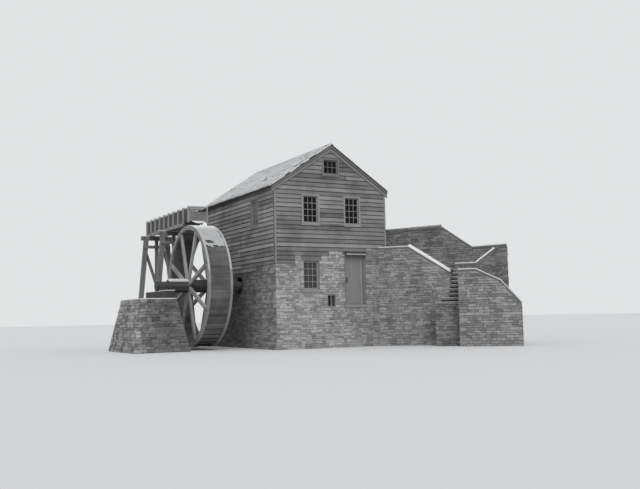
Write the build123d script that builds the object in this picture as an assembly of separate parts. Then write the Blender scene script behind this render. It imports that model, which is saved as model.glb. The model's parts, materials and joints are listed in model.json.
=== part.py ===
from build123d import *
import math
import os

# Overshot watermill: a timber mill house on a stone ground storey, a wooden wheel on an outer
# pier, the trough that feeds it, and the flared retaining walls with their stair.
# Millimetres, +Z up. The model is laid out from the front left corner of the stonework and
# moved at the end, so that the origin is the middle of the front wall's foot.

# Mill house, plan and walls
house_width = 5190
house_length = 7390
stone_wall = 450
timber_wall = 130
timber_proud = 20

# Levels, from the foot of all masonry and posts
door_sill_level = 1750
upper_floor_level = 4250
attic_floor_level = 6450
floor_thickness = 140
ridge_level = 8446

# Top of the stonework, stepped along the front as the boards come down over it
stone_top_corner = 3420
stone_top_window = 3770
stone_top_door = 3960
stone_top_right = 4110
stone_top_rear_left = 3170
corner_step_x = 860
window_step_x = 2430
right_step_x = 4240
rear_step_y = 1800

# Roof
roof_pitch = 33.75
roof_thickness = 110
eave_overhang = 150
gable_overhang = 100
rake_depth = 150
rake_thickness = 25
rake_stand_off = 20
rake_joint = 2

# Windows
pane_width = 180
pane_height = 240
bar_width = 20
panes_across = 3
panes_up = 4
attic_panes_up = 2
sash_stile = 45
sash_thickness = 35
sash_setback = 45
glass_thickness = 6
jamb_thickness = 30
casing_width = 75
casing_thickness = 25
window_sill_thickness = 35
window_sill_reach = 50
upper_window_level = 5665
upper_window_offset = 982
attic_window_level = 7475
side_window_y = 1900
lower_window_x = 1610
lower_window_level = 2965
lower_window_recess = 60
lower_frame_depth = 90

# Stone sills, timber lintels and the vent
lintel_bearing = 105
stone_sill_thickness = 120
stone_sill_reach = 60
vent_x = 2520
vent_level = 1920
vent_width = 400
vent_height = 520
vent_frame_bar = 45
vent_frame_depth = 120

# Front door
door_opening_x = 3160
door_opening_width = 1030
door_height = 2000
door_jamb = 90
door_jamb_front = 40
lintel_rebate = 20
door_stop = 12
door_stop_depth = 20
door_leaf_thickness = 45
door_clearance = 5
latch_inset = 72
latch_plate_width = 50
latch_plate_height = 260
latch_grip_radius = 85
latch_grip_bar = 16
hinge_pin_radius = 8
hinge_pin_clearance = 0.3
hinge_eye_wall = 7
hinge_play = 2
hinge_inset = 350
strap_length = 560
strap_thickness = 6
strap_height = 36
latch_height = 1030
hood_reach = 160
hood_thickness = 45
hood_overrun = 60

# Upper door at the head of the stair
upper_door_y = 1450
upper_door_width = 760
upper_door_height = 1850
upper_door_leaf = 40

# Water wheel
wheel_centre_y = 3669
axle_level = 2676
wheel_radius = 2566
wheel_width = 1030
wheel_centre_x = -1885
arm_count = 8
first_arm_angle = 115
bucket_count = 48
shroud_depth = 180
shroud_thickness = 100
felloe_joint = 3
sole_thickness = 25
sole_cover = 20
plank_joint = 2
bucket_bottom_depth = 40
bucket_board = 20
bucket_overlap_angle = 8.5
bucket_rim_gap = 30
arm_width = 150
arm_thickness = 100
axle_across_flats = 500
neck_radius = 190
outer_neck_start = -3250
outer_neck_end = -3760
inner_neck_start = -150
inner_neck_end = 650
band_width = 60
band_thickness = 12

# Bearings and pier
bearing_clearance = 0.3
shaft_opening_radius = 400
shaft_panel_half_width = 550
pier_top = 2110
pier_x0 = -4750
pier_x1 = -3300
pier_y0 = 2400
pier_y1 = 5300
pier_batter = 0.2
beam_x0 = -3700
beam_x1 = -3300
beam_y0 = 2550
beam_y1 = 5250
beam_height = 340
outer_block_half_width = 310
outer_block_margin = 20
bearing_block_drop = 70

# Flume and trestle
flume_offset = -100
flume_floor_level = 5460
flume_inner_width = 700
flume_side_height = 520
flume_board = 40
flume_start_y = 3400
flume_end_y = 9500
flume_gate_length = 320
flume_end_drop = 160
stringer_start_y = 4200
stringer_height = 130
stringer_width = 130
rib_pitch = 660
rib_size = 60
rib_depth = 80
rib_drop = 60
spout_sag = 115
spout_board = 25
spout_reach = 60
bent_first_y = 6600
bent_pitch = 2600
bent_count = 2
cap_size = 180
cap_length = 1500
post_size = 200
post_head_offset = 520
post_batter = 0.09
centre_post_size = 140
girt_level = 4850
girt_height = 140
brace_thickness = 50
brace_width = 140

# Retaining walls and stair, in their own plan turned from the front of the house.
# u runs outwards along the walls, v runs into the bank.
walls_turn = -45
walls_corner_inset = 290
walls_corner_y = -50
retaining_wall = 450
front_wall_level_end = 1250
front_wall_end = 2930
front_coping_high = 4140
front_coping_low = 3030
coping_thickness = 75
coping_overhang = 30
upper_wall_v = 2000
upper_wall_left_level = 4950
upper_wall_crest_u = 2380
upper_wall_crest_level = 5150
upper_wall_dip_u = 3700
upper_wall_dip_level = 4180
upper_wall_end_u = 5150
upper_wall_end_level = 4240
ledge_depth = 300
ledge_start_u = 2960
ledge_bend_u = 3860
ledge_end_u = 4660
ledge_level = 3450
ledge_end_level = 4030
stair_right_u = 3460
wing_v = -1500
wing_thickness = 400
wing_level = 3020
wing_bend_1_u = 4156
wing_bend_2_u = 5086
wing_bend_2_level = 2560
wing_bend_3_u = 5545
wing_bend_3_level = 2040
wing_end_u = 5848
wing_end_level = 1690
stair_rise = 182
stair_run = 270
stair_first_v = -1000
stair_count = 7
stair_joint = 2
stair_splay_1 = 490
stair_splay_2 = 280
upper_stair_count = 6
upper_stair_rise = 171


def block(x0, x1, y0, y1, z0, z1):
    """A box between two corners."""
    return Pos((x0 + x1) / 2, (y0 + y1) / 2, (z0 + z1) / 2) * Box(x1 - x0, y1 - y0, z1 - z0)


def along_y(points, y0, y1):
    """An outline in X and Z, carried from y0 to y1."""
    outline = Polyline(*[(x, y0, z) for x, z in points], close=True)
    return extrude(make_face(outline), amount=y1 - y0, dir=(0, 1, 0))


def along_x(points, x0, x1):
    """An outline in Y and Z, carried from x0 to x1."""
    outline = Polyline(*[(x0, y, z) for y, z in points], close=True)
    return extrude(make_face(outline), amount=x1 - x0, dir=(1, 0, 0))


def rod_x(x0, x1, y, z, radius):
    """A round bar along X."""
    return Pos((x0 + x1) / 2, y, z) * Rot(0, 90, 0) * Cylinder(radius, x1 - x0)


def group(solids):
    """Like pieces that share a node."""
    return Compound([piece for shape in solids for piece in shape.solids()])


pieces = {}
reach = 100  # how far a cutting tool runs past the face that it cuts

# Derived sizes of the house
front = 0
back = house_length
middle_x = house_width / 2
slope = math.tan(math.radians(roof_pitch))
roof_drop = roof_thickness / math.cos(math.radians(roof_pitch))
door_opening_end = door_opening_x + door_opening_width
door_head_level = door_sill_level + door_height
lintel_level = door_head_level + door_jamb - lintel_rebate
timber_x0 = -timber_proud
timber_x1 = house_width + timber_proud
timber_y0 = front - timber_proud
timber_y1 = back + timber_proud
timber_inner = timber_wall - timber_proud
walls_corner_x = house_width - walls_corner_inset


def roof_top(x):
    return ridge_level - abs(x - middle_x) * slope


def roof_underside(x):
    return roof_top(x) - roof_drop


# Windows: an opening, a frame with its casing and sill, a sash and its glass.
# Each is drawn with its centre at the origin, Y running in from the wall's face.
def glass_size(rows):
    width = panes_across * pane_width + (panes_across - 1) * bar_width
    height = rows * pane_height + (rows - 1) * bar_width
    return width, height


def ring(width, height, border, y0, y1):
    """A rectangular ring in the wall's plane, with the clear size given."""
    outer = block(-width / 2 - border, width / 2 + border, y0, y1, -height / 2 - border, height / 2 + border)
    inner = block(-width / 2, width / 2, y0 - reach, y1 + reach, -height / 2, height / 2)
    return outer - inner


def sash_outer(rows):
    width, height = glass_size(rows)
    return width + 2 * sash_stile, height + 2 * sash_stile


def window_opening(rows, depth):
    width, height = sash_outer(rows)
    half_width = width / 2 + jamb_thickness
    half_height = height / 2 + jamb_thickness
    return block(-half_width, half_width, -reach, depth + reach, -half_height, half_height)


def window_sash(rows, setback):
    width, height = glass_size(rows)
    return ring(width, height, sash_stile, setback, setback + sash_thickness)


def window_glass(rows, setback):
    width, height = glass_size(rows)
    y0 = setback + (sash_thickness - glass_thickness) / 2
    return block(-width / 2, width / 2, y0, y0 + glass_thickness, -height / 2, height / 2)


def cased_frame(rows):
    """Jambs through the timber wall, a flat casing on its face and a sill under it."""
    width, height = sash_outer(rows)
    jambs = ring(width, height, jamb_thickness, 0, timber_wall)
    casing = ring(width, height, casing_width, -casing_thickness, 0)
    sill_half = width / 2 + casing_width + bar_width
    sill_top = -height / 2 - casing_width
    sill = block(-sill_half, sill_half, -window_sill_reach, 0, sill_top - window_sill_thickness, sill_top)
    return jambs + casing + sill


def door_casing():
    """The frame of the upper door: jambs, casing and no sill."""
    jambs = ring(upper_door_width, upper_door_height, jamb_thickness, 0, timber_wall)
    casing = ring(upper_door_width, upper_door_height, casing_width, -casing_thickness, 0)
    below = block(-middle_x, middle_x, -middle_x, middle_x, -upper_door_height, -upper_door_height / 2)
    return jambs + casing - below


def on_front(x, z):
    return Pos(x, timber_y0, z)


def on_back(x, z):
    return Pos(x, timber_y1, z) * Rot(0, 0, 180)


def on_left(y, z):
    return Pos(timber_x0, y, z) * Rot(0, 0, -90)


def on_right(y, z):
    return Pos(timber_x1, y, z) * Rot(0, 0, 90)


front_places = [
    (on_front(middle_x - upper_window_offset, upper_window_level), panes_up),
    (on_front(middle_x + upper_window_offset, upper_window_level), panes_up),
    (on_front(middle_x, attic_window_level), attic_panes_up),
]
back_places = [
    (on_back(middle_x - upper_window_offset, upper_window_level), panes_up),
    (on_back(middle_x + upper_window_offset, upper_window_level), panes_up),
    (on_back(middle_x, attic_window_level), attic_panes_up),
]
left_places = [(on_left(side_window_y, upper_window_level), panes_up)]
right_places = [(on_right(house_length - side_window_y, upper_window_level), panes_up)]
upper_door_place = on_right(upper_door_y, upper_floor_level + upper_door_height / 2)
lower_window_place = Pos(lower_window_x, front, lower_window_level)
timber_places = front_places + back_places + left_places + right_places

# Stone ground storey. The front wall is built beside, under and over the doorway.
lower_width, lower_height = sash_outer(panes_up)
lower_opening_half = lower_width / 2 + jamb_thickness
lower_opening_top = lower_window_level + lower_height / 2 + jamb_thickness
lower_opening_foot = lower_window_level - lower_height / 2 - jamb_thickness
window_lintel_x0 = lower_window_x - lower_opening_half - lintel_bearing
window_lintel_x1 = lower_window_x + lower_opening_half + lintel_bearing
window_lintel = block(
    window_lintel_x0, window_lintel_x1, front, front + stone_wall, lower_opening_top, stone_top_window
)
window_stone_sill = block(
    window_lintel_x0,
    window_lintel_x1,
    front - stone_sill_reach,
    front + stone_wall,
    lower_opening_foot - stone_sill_thickness,
    lower_opening_foot,
)
door_lintel = block(
    door_opening_x - lintel_bearing,
    door_opening_end + lintel_bearing,
    front,
    front + stone_wall,
    lintel_level,
    stone_top_door,
)
door_stone_sill = block(
    door_opening_x - stone_sill_reach,
    door_opening_end + stone_sill_reach,
    front - stone_sill_reach,
    front + stone_wall,
    door_sill_level - stone_sill_thickness,
    door_sill_level,
)
vent_opening = block(
    vent_x - vent_width / 2,
    vent_x + vent_width / 2,
    -reach,
    stone_wall + reach,
    vent_level - vent_height / 2,
    vent_level + vent_height / 2,
)
lower_window_cut = lower_window_place * window_opening(panes_up, stone_wall)

left_outline = [
    (0, 0),
    (door_opening_x, 0),
    (door_opening_x, stone_top_door),
    (window_step_x, stone_top_door),
    (window_step_x, stone_top_window),
    (corner_step_x, stone_top_window),
    (corner_step_x, stone_top_corner),
    (0, stone_top_corner),
]
pieces["front_wall_left"] = (
    along_y(left_outline, front, front + stone_wall)
    - lower_window_cut
    - vent_opening
    - window_lintel
    - window_stone_sill
    - door_lintel
    - door_stone_sill
)
right_outline = [
    (door_opening_end, 0),
    (house_width, 0),
    (house_width, stone_top_right),
    (right_step_x, stone_top_right),
    (right_step_x, stone_top_door),
    (door_opening_end, stone_top_door),
]
pieces["front_wall_right"] = (
    along_y(right_outline, front, front + stone_wall) - door_lintel - door_stone_sill
)
pieces["front_wall_under_door"] = (
    block(door_opening_x, door_opening_end, front, front + stone_wall, 0, door_sill_level)
    - door_stone_sill
)

left_wall_outline = [
    (front + stone_wall, 0),
    (back - stone_wall, 0),
    (back - stone_wall, stone_top_rear_left),
    (rear_step_y, stone_top_rear_left),
    (rear_step_y, stone_top_corner),
    (front + stone_wall, stone_top_corner),
]
shaft_panel = block(
    -reach,
    stone_wall + reach,
    wheel_centre_y - shaft_panel_half_width,
    wheel_centre_y + shaft_panel_half_width,
    -reach,
    stone_top_rear_left + reach,
)
left_stone = along_x(left_wall_outline, 0, stone_wall)
shaft_hole = rod_x(-reach, stone_wall + reach, wheel_centre_y, axle_level, shaft_opening_radius)
pieces["left_wall"] = group([left_stone - shaft_panel])
pieces["shaft_surround"] = (left_stone & shaft_panel) - shaft_hole
pieces["right_wall"] = block(
    house_width - stone_wall, house_width, front + stone_wall, back - stone_wall, 0, stone_top_right
)
pieces["back_wall"] = block(0, house_width, back - stone_wall, back, 0, stone_top_right)

# Timber storey: framed walls that carry the boards, cut for the windows and the upper door
gable_head = [
    (timber_x1, roof_underside(timber_x1)),
    (middle_x, roof_underside(middle_x)),
    (timber_x0, roof_underside(timber_x0)),
]
front_gable_outline = [
    (timber_x0, stone_top_corner),
    (corner_step_x, stone_top_corner),
    (corner_step_x, stone_top_window),
    (window_step_x, stone_top_window),
    (window_step_x, stone_top_door),
    (right_step_x, stone_top_door),
    (right_step_x, stone_top_right),
    (timber_x1, stone_top_right),
] + gable_head
back_gable_outline = [(timber_x0, stone_top_right), (timber_x1, stone_top_right)] + gable_head


def cut_windows(wall, places):
    for place, rows in places:
        wall -= place * window_opening(rows, timber_wall)
    return wall


pieces["front_gable"] = cut_windows(
    along_y(front_gable_outline, timber_y0, timber_y0 + timber_wall), front_places
)
pieces["back_gable"] = cut_windows(
    along_y(back_gable_outline, timber_y1 - timber_wall, timber_y1), back_places
)


def side_wall(x0, x1, foot):
    """A side wall whose head follows the underside of the roof."""
    outline = [(x0, foot), (x1, foot), (x1, roof_underside(x1)), (x0, roof_underside(x0))]
    return along_y(outline, timber_y0 + timber_wall, timber_y1 - timber_wall)


left_timber = side_wall(timber_x0, timber_inner, stone_top_rear_left)
left_timber -= block(-stone_wall, stone_wall, -reach, rear_step_y, 0, stone_top_corner)
left_timber -= block(-stone_wall, stone_wall, back - stone_wall, back + reach, 0, stone_top_right)
pieces["left_timber_wall"] = cut_windows(left_timber, left_places)

door_half = upper_door_width / 2 + jamb_thickness
upper_door_cut = upper_door_place * block(
    -door_half,
    door_half,
    -reach,
    timber_wall + reach,
    -upper_door_height / 2,
    upper_door_height / 2 + jamb_thickness,
)
right_timber = side_wall(house_width - timber_inner, timber_x1, stone_top_right)
pieces["right_timber_wall"] = cut_windows(right_timber, right_places) - upper_door_cut

# Floors
pieces["ground_floor"] = block(
    stone_wall,
    house_width - stone_wall,
    front + stone_wall,
    back - stone_wall,
    door_sill_level - floor_thickness,
    door_sill_level,
)


def timber_floor(level):
    return block(
        timber_inner,
        house_width - timber_inner,
        timber_y0 + timber_wall,
        timber_y1 - timber_wall,
        level - floor_thickness,
        level,
    )


pieces["timber_floors"] = group([timber_floor(upper_floor_level), timber_floor(attic_floor_level)])

# Roof: two slopes that meet on the ridge, and a rake board under each gable edge
eave_x = eave_overhang + middle_x
roof_y0 = front - gable_overhang
roof_y1 = back + gable_overhang


def roof_slope(side):
    edge = middle_x + side * eave_x
    outline = [
        (middle_x, roof_top(middle_x)),
        (edge, roof_top(edge)),
        (edge, roof_underside(edge)),
        (middle_x, roof_underside(middle_x)),
    ]
    return along_y(outline, roof_y0, roof_y1)


pieces["roof_left"] = roof_slope(-1)
pieces["roof_right"] = roof_slope(1)

rake_drop = rake_depth / math.cos(math.radians(roof_pitch))
front_rake_y = timber_y0 - rake_stand_off
back_rake_y = timber_y1 + rake_stand_off


def rake_board(side, y0):
    """One board under a gable edge, cut plumb where it meets its fellow at the ridge."""
    edge = middle_x + side * eave_x
    inner = middle_x + side * rake_joint / 2
    outline = [
        (edge, roof_underside(edge)),
        (inner, roof_underside(inner)),
        (inner, roof_underside(inner) - rake_drop),
        (edge, roof_underside(edge) - rake_drop),
    ]
    return along_y(outline, y0, y0 + rake_thickness)


pieces["rake_boards"] = group(
    [rake_board(side, y0) for side in (-1, 1) for y0 in (front_rake_y - rake_thickness, back_rake_y)]
)

# Window frames, sashes and glass
lower_frame = ring(
    lower_width,
    lower_height,
    jamb_thickness,
    lower_window_recess,
    lower_window_recess + lower_frame_depth,
)
lower_setback = lower_window_recess + sash_thickness
pieces["front_window_frames"] = group(
    [place * cased_frame(rows) for place, rows in front_places] + [lower_window_place * lower_frame]
)
pieces["side_window_frames"] = group(
    [place * cased_frame(rows) for place, rows in left_places + right_places + back_places]
    + [upper_door_place * door_casing()]
)
pieces["window_sashes"] = group(
    [place * window_sash(rows, sash_setback) for place, rows in timber_places]
    + [lower_window_place * window_sash(panes_up, lower_setback)]
)
pieces["window_glass"] = group(
    [place * window_glass(rows, sash_setback) for place, rows in timber_places]
    + [lower_window_place * window_glass(panes_up, lower_setback)]
)
pieces["front_lintels"] = group([window_lintel, door_lintel])
pieces["stone_sills"] = group([window_stone_sill, door_stone_sill])

vent_border = block(
    vent_x - vent_width / 2,
    vent_x + vent_width / 2,
    front,
    front + vent_frame_depth,
    vent_level - vent_height / 2,
    vent_level + vent_height / 2,
)
vent_slot_width = (vent_width - 3 * vent_frame_bar) / 2
for side in (-1, 1):
    slot_centre = vent_x + side * (vent_slot_width + vent_frame_bar) / 2
    vent_border -= block(
        slot_centre - vent_slot_width / 2,
        slot_centre + vent_slot_width / 2,
        -reach,
        stone_wall,
        vent_level - vent_height / 2 + vent_frame_bar,
        vent_level + vent_height / 2 - vent_frame_bar,
    )
pieces["vent_frame"] = vent_border

# Front door: a frame with stops, a boarded leaf hung on two pintles, a latch and a hood
leaf_x0 = door_opening_x + door_jamb + door_clearance
leaf_x1 = door_opening_end - door_jamb - door_clearance
leaf_y0 = door_jamb_front + 2 * door_stop_depth + door_stop + door_clearance
leaf_y1 = leaf_y0 + door_leaf_thickness
stop_y1 = leaf_y0 - door_clearance
frame_outer = block(
    door_opening_x, door_opening_end, door_jamb_front, leaf_y1, door_sill_level, lintel_level
)
frame_clear = block(
    door_opening_x + door_jamb,
    door_opening_end - door_jamb,
    -reach,
    stone_wall,
    door_sill_level - reach,
    door_head_level,
)
stop_strip = block(
    door_opening_x + door_jamb,
    door_opening_end - door_jamb,
    stop_y1 - door_stop_depth,
    stop_y1,
    door_sill_level,
    door_head_level,
) - block(
    door_opening_x + door_jamb + door_stop,
    door_opening_end - door_jamb - door_stop,
    -reach,
    stone_wall,
    door_sill_level - reach,
    door_head_level - door_stop,
)
pieces["door_frame"] = frame_outer - frame_clear + stop_strip

leaf_z0 = door_sill_level + door_clearance
leaf_z1 = door_head_level - door_clearance
pieces["door_leaf"] = block(leaf_x0, leaf_x1, leaf_y0, leaf_y1, leaf_z0, leaf_z1)

pin_x = leaf_x1 + door_clearance
pin_y = leaf_y1 + hinge_pin_radius + hinge_eye_wall + hinge_play
eye_radius = hinge_pin_radius + hinge_pin_clearance + hinge_eye_wall
hinge_levels = [door_sill_level + hinge_inset, door_head_level - hinge_inset]


def hinge_strap(level):
    strap = block(
        pin_x - strap_length,
        pin_x - hinge_pin_radius,
        leaf_y1,
        leaf_y1 + strap_thickness,
        level - strap_height / 2,
        level + strap_height / 2,
    )
    neck = block(
        pin_x - eye_radius,
        pin_x - hinge_pin_radius,
        leaf_y1,
        pin_y,
        level - strap_height / 2,
        level + strap_height / 2,
    )
    eye = Pos(pin_x, pin_y, level) * Cylinder(eye_radius, strap_height)
    bore = Pos(pin_x, pin_y, level) * Cylinder(hinge_pin_radius + hinge_pin_clearance, 2 * strap_height)
    return strap + neck + eye - bore


def pintle(level):
    foot_z1 = level - strap_height / 2 - hinge_play
    foot_z0 = foot_z1 - strap_height
    pin = Pos(pin_x, pin_y, (foot_z0 + level + strap_height / 2) / 2) * Cylinder(
        hinge_pin_radius, level + strap_height / 2 - foot_z0
    )
    foot = block(
        pin_x - hinge_pin_radius,
        door_opening_end - 2 * hinge_pin_radius,
        leaf_y1,
        pin_y + hinge_pin_radius,
        foot_z0,
        foot_z1,
    )
    return pin + foot


pieces["door_straps"] = group([hinge_strap(level) for level in hinge_levels])
pieces["door_pintles"] = group([pintle(level) for level in hinge_levels])

latch_x = leaf_x0 + latch_inset
latch_z = door_sill_level + latch_height
latch_back = leaf_y0 - strap_thickness
latch_plate = block(
    latch_x - latch_plate_width / 2,
    latch_x + latch_plate_width / 2,
    latch_back,
    leaf_y0,
    latch_z - latch_plate_height / 2,
    latch_z + latch_plate_height / 2,
)
grip_place = Pos(latch_x, latch_back, latch_z) * Rot(0, 90, 0)
grip_hoop = grip_place * (
    Cylinder(latch_grip_radius, latch_grip_bar)
    - Cylinder(latch_grip_radius - latch_grip_bar, 2 * latch_grip_bar)
)
grip_reach = block(
    latch_x - reach,
    latch_x + reach,
    latch_back - 3 * latch_grip_bar,
    latch_back,
    latch_z - latch_plate_height,
    latch_z + latch_plate_height,
)
pieces["door_latch"] = latch_plate + (grip_hoop & grip_reach)

hood_x0 = door_opening_x + door_jamb - hood_overrun
hood_x1 = door_opening_end - door_jamb + hood_overrun
hood_outline = [
    (front, stone_top_door),
    (front, stone_top_door - hood_thickness),
    (front - hood_reach, stone_top_door - 2 * hood_thickness),
    (front - hood_reach, stone_top_door - hood_thickness),
]
pieces["door_hood"] = along_x(hood_outline, hood_x0, hood_x1)

pieces["upper_door"] = upper_door_place * block(
    -upper_door_width / 2,
    upper_door_width / 2,
    sash_setback,
    sash_setback + upper_door_leaf,
    -upper_door_height / 2,
    upper_door_height / 2,
)

# Water wheel. Each part is drawn at the top of the wheel, Y across and Z outwards from the
# axle, and turned to its place. Angles run from +Y over the top towards the front.
wheel_x0 = wheel_centre_x - wheel_width / 2
wheel_x1 = wheel_centre_x + wheel_width / 2
shroud_inner = wheel_radius - shroud_depth
sole_inner = shroud_inner + sole_cover
sole_outer = sole_inner + sole_thickness
bucket_x0 = wheel_x0 + shroud_thickness
bucket_x1 = wheel_x1 - shroud_thickness
bucket_pitch = 360 / bucket_count
arm_pitch = 360 / arm_count


def on_wheel(angle):
    return Pos(0, wheel_centre_y, axle_level) * Rot(angle - 90, 0, 0)


def polar(radius, angle):
    """A point at the top of the wheel, turned back from the top by an angle."""
    return (radius * math.sin(math.radians(angle)), radius * math.cos(math.radians(angle)))


def felloe(x0, x1):
    """One length of shroud between two radial joints."""
    band = Rot(0, 90, 0) * (
        Cylinder(wheel_radius, x1 - x0) - Cylinder(shroud_inner, 2 * (x1 - x0))
    )
    half = arm_pitch / 2 - math.degrees(felloe_joint / 2 / wheel_radius)
    far = wheel_radius + shroud_depth * 3
    wedge = along_x([(0, 0), polar(far, half), polar(far, -half)], x0 - reach, x1 + reach)
    return (Pos((x0 + x1) / 2, 0, 0) * band) & wedge


def sole_plank():
    half = math.tan(math.radians(bucket_pitch / 2))
    outline = [
        (-sole_inner * half + plank_joint / 2, sole_inner),
        (sole_inner * half - plank_joint / 2, sole_inner),
        (sole_outer * half - plank_joint / 2, sole_outer),
        (-sole_outer * half + plank_joint / 2, sole_outer),
    ]
    return along_x(outline, bucket_x0, bucket_x1)


elbow_radius = sole_outer + bucket_bottom_depth
elbow = (-bucket_board / 2, elbow_radius)
lip = polar(wheel_radius - bucket_rim_gap, bucket_overlap_angle)
front_slope = (lip[1] - elbow[1]) / (lip[0] - elbow[0])
front_length = math.hypot(lip[0] - elbow[0], lip[1] - elbow[1])
front_normal = ((elbow[1] - lip[1]) / front_length, (lip[0] - elbow[0]) / front_length)


def bucket_bottom():
    """The short board that stands on the sole."""
    outline = [
        (-bucket_board / 2, sole_outer),
        (bucket_board / 2, sole_outer),
        (bucket_board / 2, elbow_radius + bucket_board * front_slope),
        elbow,
    ]
    return along_x(outline, bucket_x0, bucket_x1)


def bucket_front():
    """The outer board, from the elbow to the rim."""
    outline = [
        elbow,
        lip,
        (lip[0] + bucket_board * front_normal[0], lip[1] + bucket_board * front_normal[1]),
        (elbow[0] + bucket_board * front_normal[0], elbow[1] + bucket_board * front_normal[1]),
    ]
    return along_x(outline, bucket_x0, bucket_x1)


arm_end = math.sqrt(shroud_inner**2 - (arm_width / 2) ** 2)


def wheel_arm(x0):
    """An arm in the plane of a shroud, from a flat of the axle to the shroud's inner edge."""
    outline = [
        (-arm_width / 2, axle_across_flats / 2),
        (arm_width / 2, axle_across_flats / 2),
        (arm_width / 2, arm_end),
        (-arm_width / 2, arm_end),
    ]
    return along_x(outline, x0, x0 + arm_thickness)


bucket_places = [on_wheel(first_arm_angle + k * bucket_pitch) for k in range(bucket_count)]
arm_places = [on_wheel(first_arm_angle + k * arm_pitch) for k in range(arm_count)]
near_felloe = felloe(wheel_x0, bucket_x0)
far_felloe = felloe(bucket_x1, wheel_x1)
pieces["wheel_shrouds"] = group([place * side for place in arm_places for side in (near_felloe, far_felloe)])
pieces["sole_boards"] = group([place * sole_plank() for place in bucket_places])
pieces["bucket_bottoms"] = group([place * bucket_bottom() for place in bucket_places])
pieces["bucket_fronts"] = group([place * bucket_front() for place in bucket_places])
near_arm = wheel_arm(wheel_x0)
far_arm = wheel_arm(wheel_x1 - arm_thickness)
pieces["wheel_arms"] = group([place * side for place in arm_places for side in (near_arm, far_arm)])

corner_radius = axle_across_flats / 2 / math.cos(math.radians(arm_pitch / 2))
octagon = [polar(corner_radius, (k + 0.5) * arm_pitch) for k in range(arm_count)]
axle = on_wheel(first_arm_angle) * along_x(octagon, outer_neck_start, inner_neck_start)
axle += rod_x(outer_neck_end, outer_neck_start, wheel_centre_y, axle_level, neck_radius)
axle += rod_x(inner_neck_start, inner_neck_end, wheel_centre_y, axle_level, neck_radius)
pieces["wheel_axle"] = axle


def axle_band(x0):
    outer = rod_x(x0, x0 + band_width, wheel_centre_y, axle_level, neck_radius + band_thickness)
    return outer - rod_x(x0 - reach, x0 + band_width + reach, wheel_centre_y, axle_level, neck_radius)


pieces["axle_bands"] = group([axle_band(outer_neck_end), axle_band(inner_neck_end - band_width)])

# Pier, the beam on it and the two bearing blocks
pier_spread = pier_top * pier_batter
pier_foot = [
    (pier_x0 - pier_spread, pier_y0 - pier_spread),
    (pier_x1 + pier_spread, pier_y0 - pier_spread),
    (pier_x1 + pier_spread, pier_y1 + pier_spread),
    (pier_x0 - pier_spread, pier_y1 + pier_spread),
]
pier_plan = make_face(Polyline(*[(x, y, 0) for x, y in pier_foot], close=True))
pieces["outer_pier"] = extrude(
    pier_plan, amount=pier_top, dir=(0, 0, 1), taper=math.degrees(math.atan(pier_batter))
)
beam_top = pier_top + beam_height
pieces["bearing_beam"] = block(beam_x0, beam_x1, beam_y0, beam_y1, pier_top, beam_top)
seat_radius = neck_radius + bearing_clearance
block_top = axle_level - bearing_block_drop
outer_block = block(
    beam_x0 + outer_block_margin,
    beam_x1 - outer_block_margin,
    wheel_centre_y - outer_block_half_width,
    wheel_centre_y + outer_block_half_width,
    beam_top,
    block_top,
) - rod_x(beam_x0 - reach, beam_x1 + reach, wheel_centre_y, axle_level, seat_radius)
inner_block_x0 = outer_block_margin * 3
inner_block_x1 = stone_wall - outer_block_margin * 3
inner_block_radius = shaft_opening_radius - bearing_clearance
inner_block = (
    rod_x(inner_block_x0, inner_block_x1, wheel_centre_y, axle_level, inner_block_radius)
    & block(
        inner_block_x0,
        inner_block_x1,
        wheel_centre_y - shaft_opening_radius,
        wheel_centre_y + shaft_opening_radius,
        axle_level - shaft_opening_radius,
        block_top,
    )
) - rod_x(-reach, stone_wall + reach, wheel_centre_y, axle_level, seat_radius)
pieces["bearing_blocks"] = group([outer_block, inner_block])

# Flume: floor, sides, frames round them, an end board with a curved spout, on stringers
flume_x = wheel_centre_x + flume_offset
flume_half = flume_inner_width / 2
side_half = flume_half + flume_board
floor_foot = flume_floor_level - flume_board
side_top = flume_floor_level + flume_side_height
stringer_foot = floor_foot - stringer_height
pieces["flume_floor"] = block(
    flume_x - flume_half,
    flume_x + flume_half,
    flume_start_y + flume_gate_length,
    flume_end_y,
    floor_foot,
    flume_floor_level,
)
side_start_y = flume_start_y + flume_board
pieces["flume_sides"] = group(
    [
        block(flume_x - side_half, flume_x - flume_half, side_start_y, flume_end_y, floor_foot, side_top),
        block(flume_x + flume_half, flume_x + side_half, side_start_y, flume_end_y, floor_foot, side_top),
    ]
)
pieces["flume_end_board"] = block(
    flume_x - side_half,
    flume_x + side_half,
    flume_start_y,
    side_start_y,
    floor_foot,
    side_top - flume_end_drop,
)
pieces["flume_stringers"] = group(
    [
        block(
            flume_x - side_half,
            flume_x - side_half + stringer_width,
            stringer_start_y,
            flume_end_y,
            stringer_foot,
            floor_foot,
        ),
        block(
            flume_x + side_half - stringer_width,
            flume_x + side_half,
            stringer_start_y,
            flume_end_y,
            stringer_foot,
            floor_foot,
        ),
    ]
)
spout_radius = (flume_half**2 + spout_sag**2) / (2 * spout_sag)
spout_centre = floor_foot - spout_sag + spout_radius
spout_y1 = flume_start_y + flume_gate_length
spout_y0 = flume_start_y - spout_reach
spout_length = spout_y1 - spout_y0
spout_disc = Pos(flume_x, (spout_y0 + spout_y1) / 2, spout_centre) * Rot(90, 0, 0) * (
    Cylinder(spout_radius, spout_length) - Cylinder(spout_radius - spout_board, 2 * spout_length)
)
pieces["flume_spout"] = spout_disc & block(
    flume_x - side_half,
    flume_x + side_half,
    spout_y0 - reach,
    spout_y1 + reach,
    floor_foot - 2 * spout_sag,
    floor_foot,
)


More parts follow.
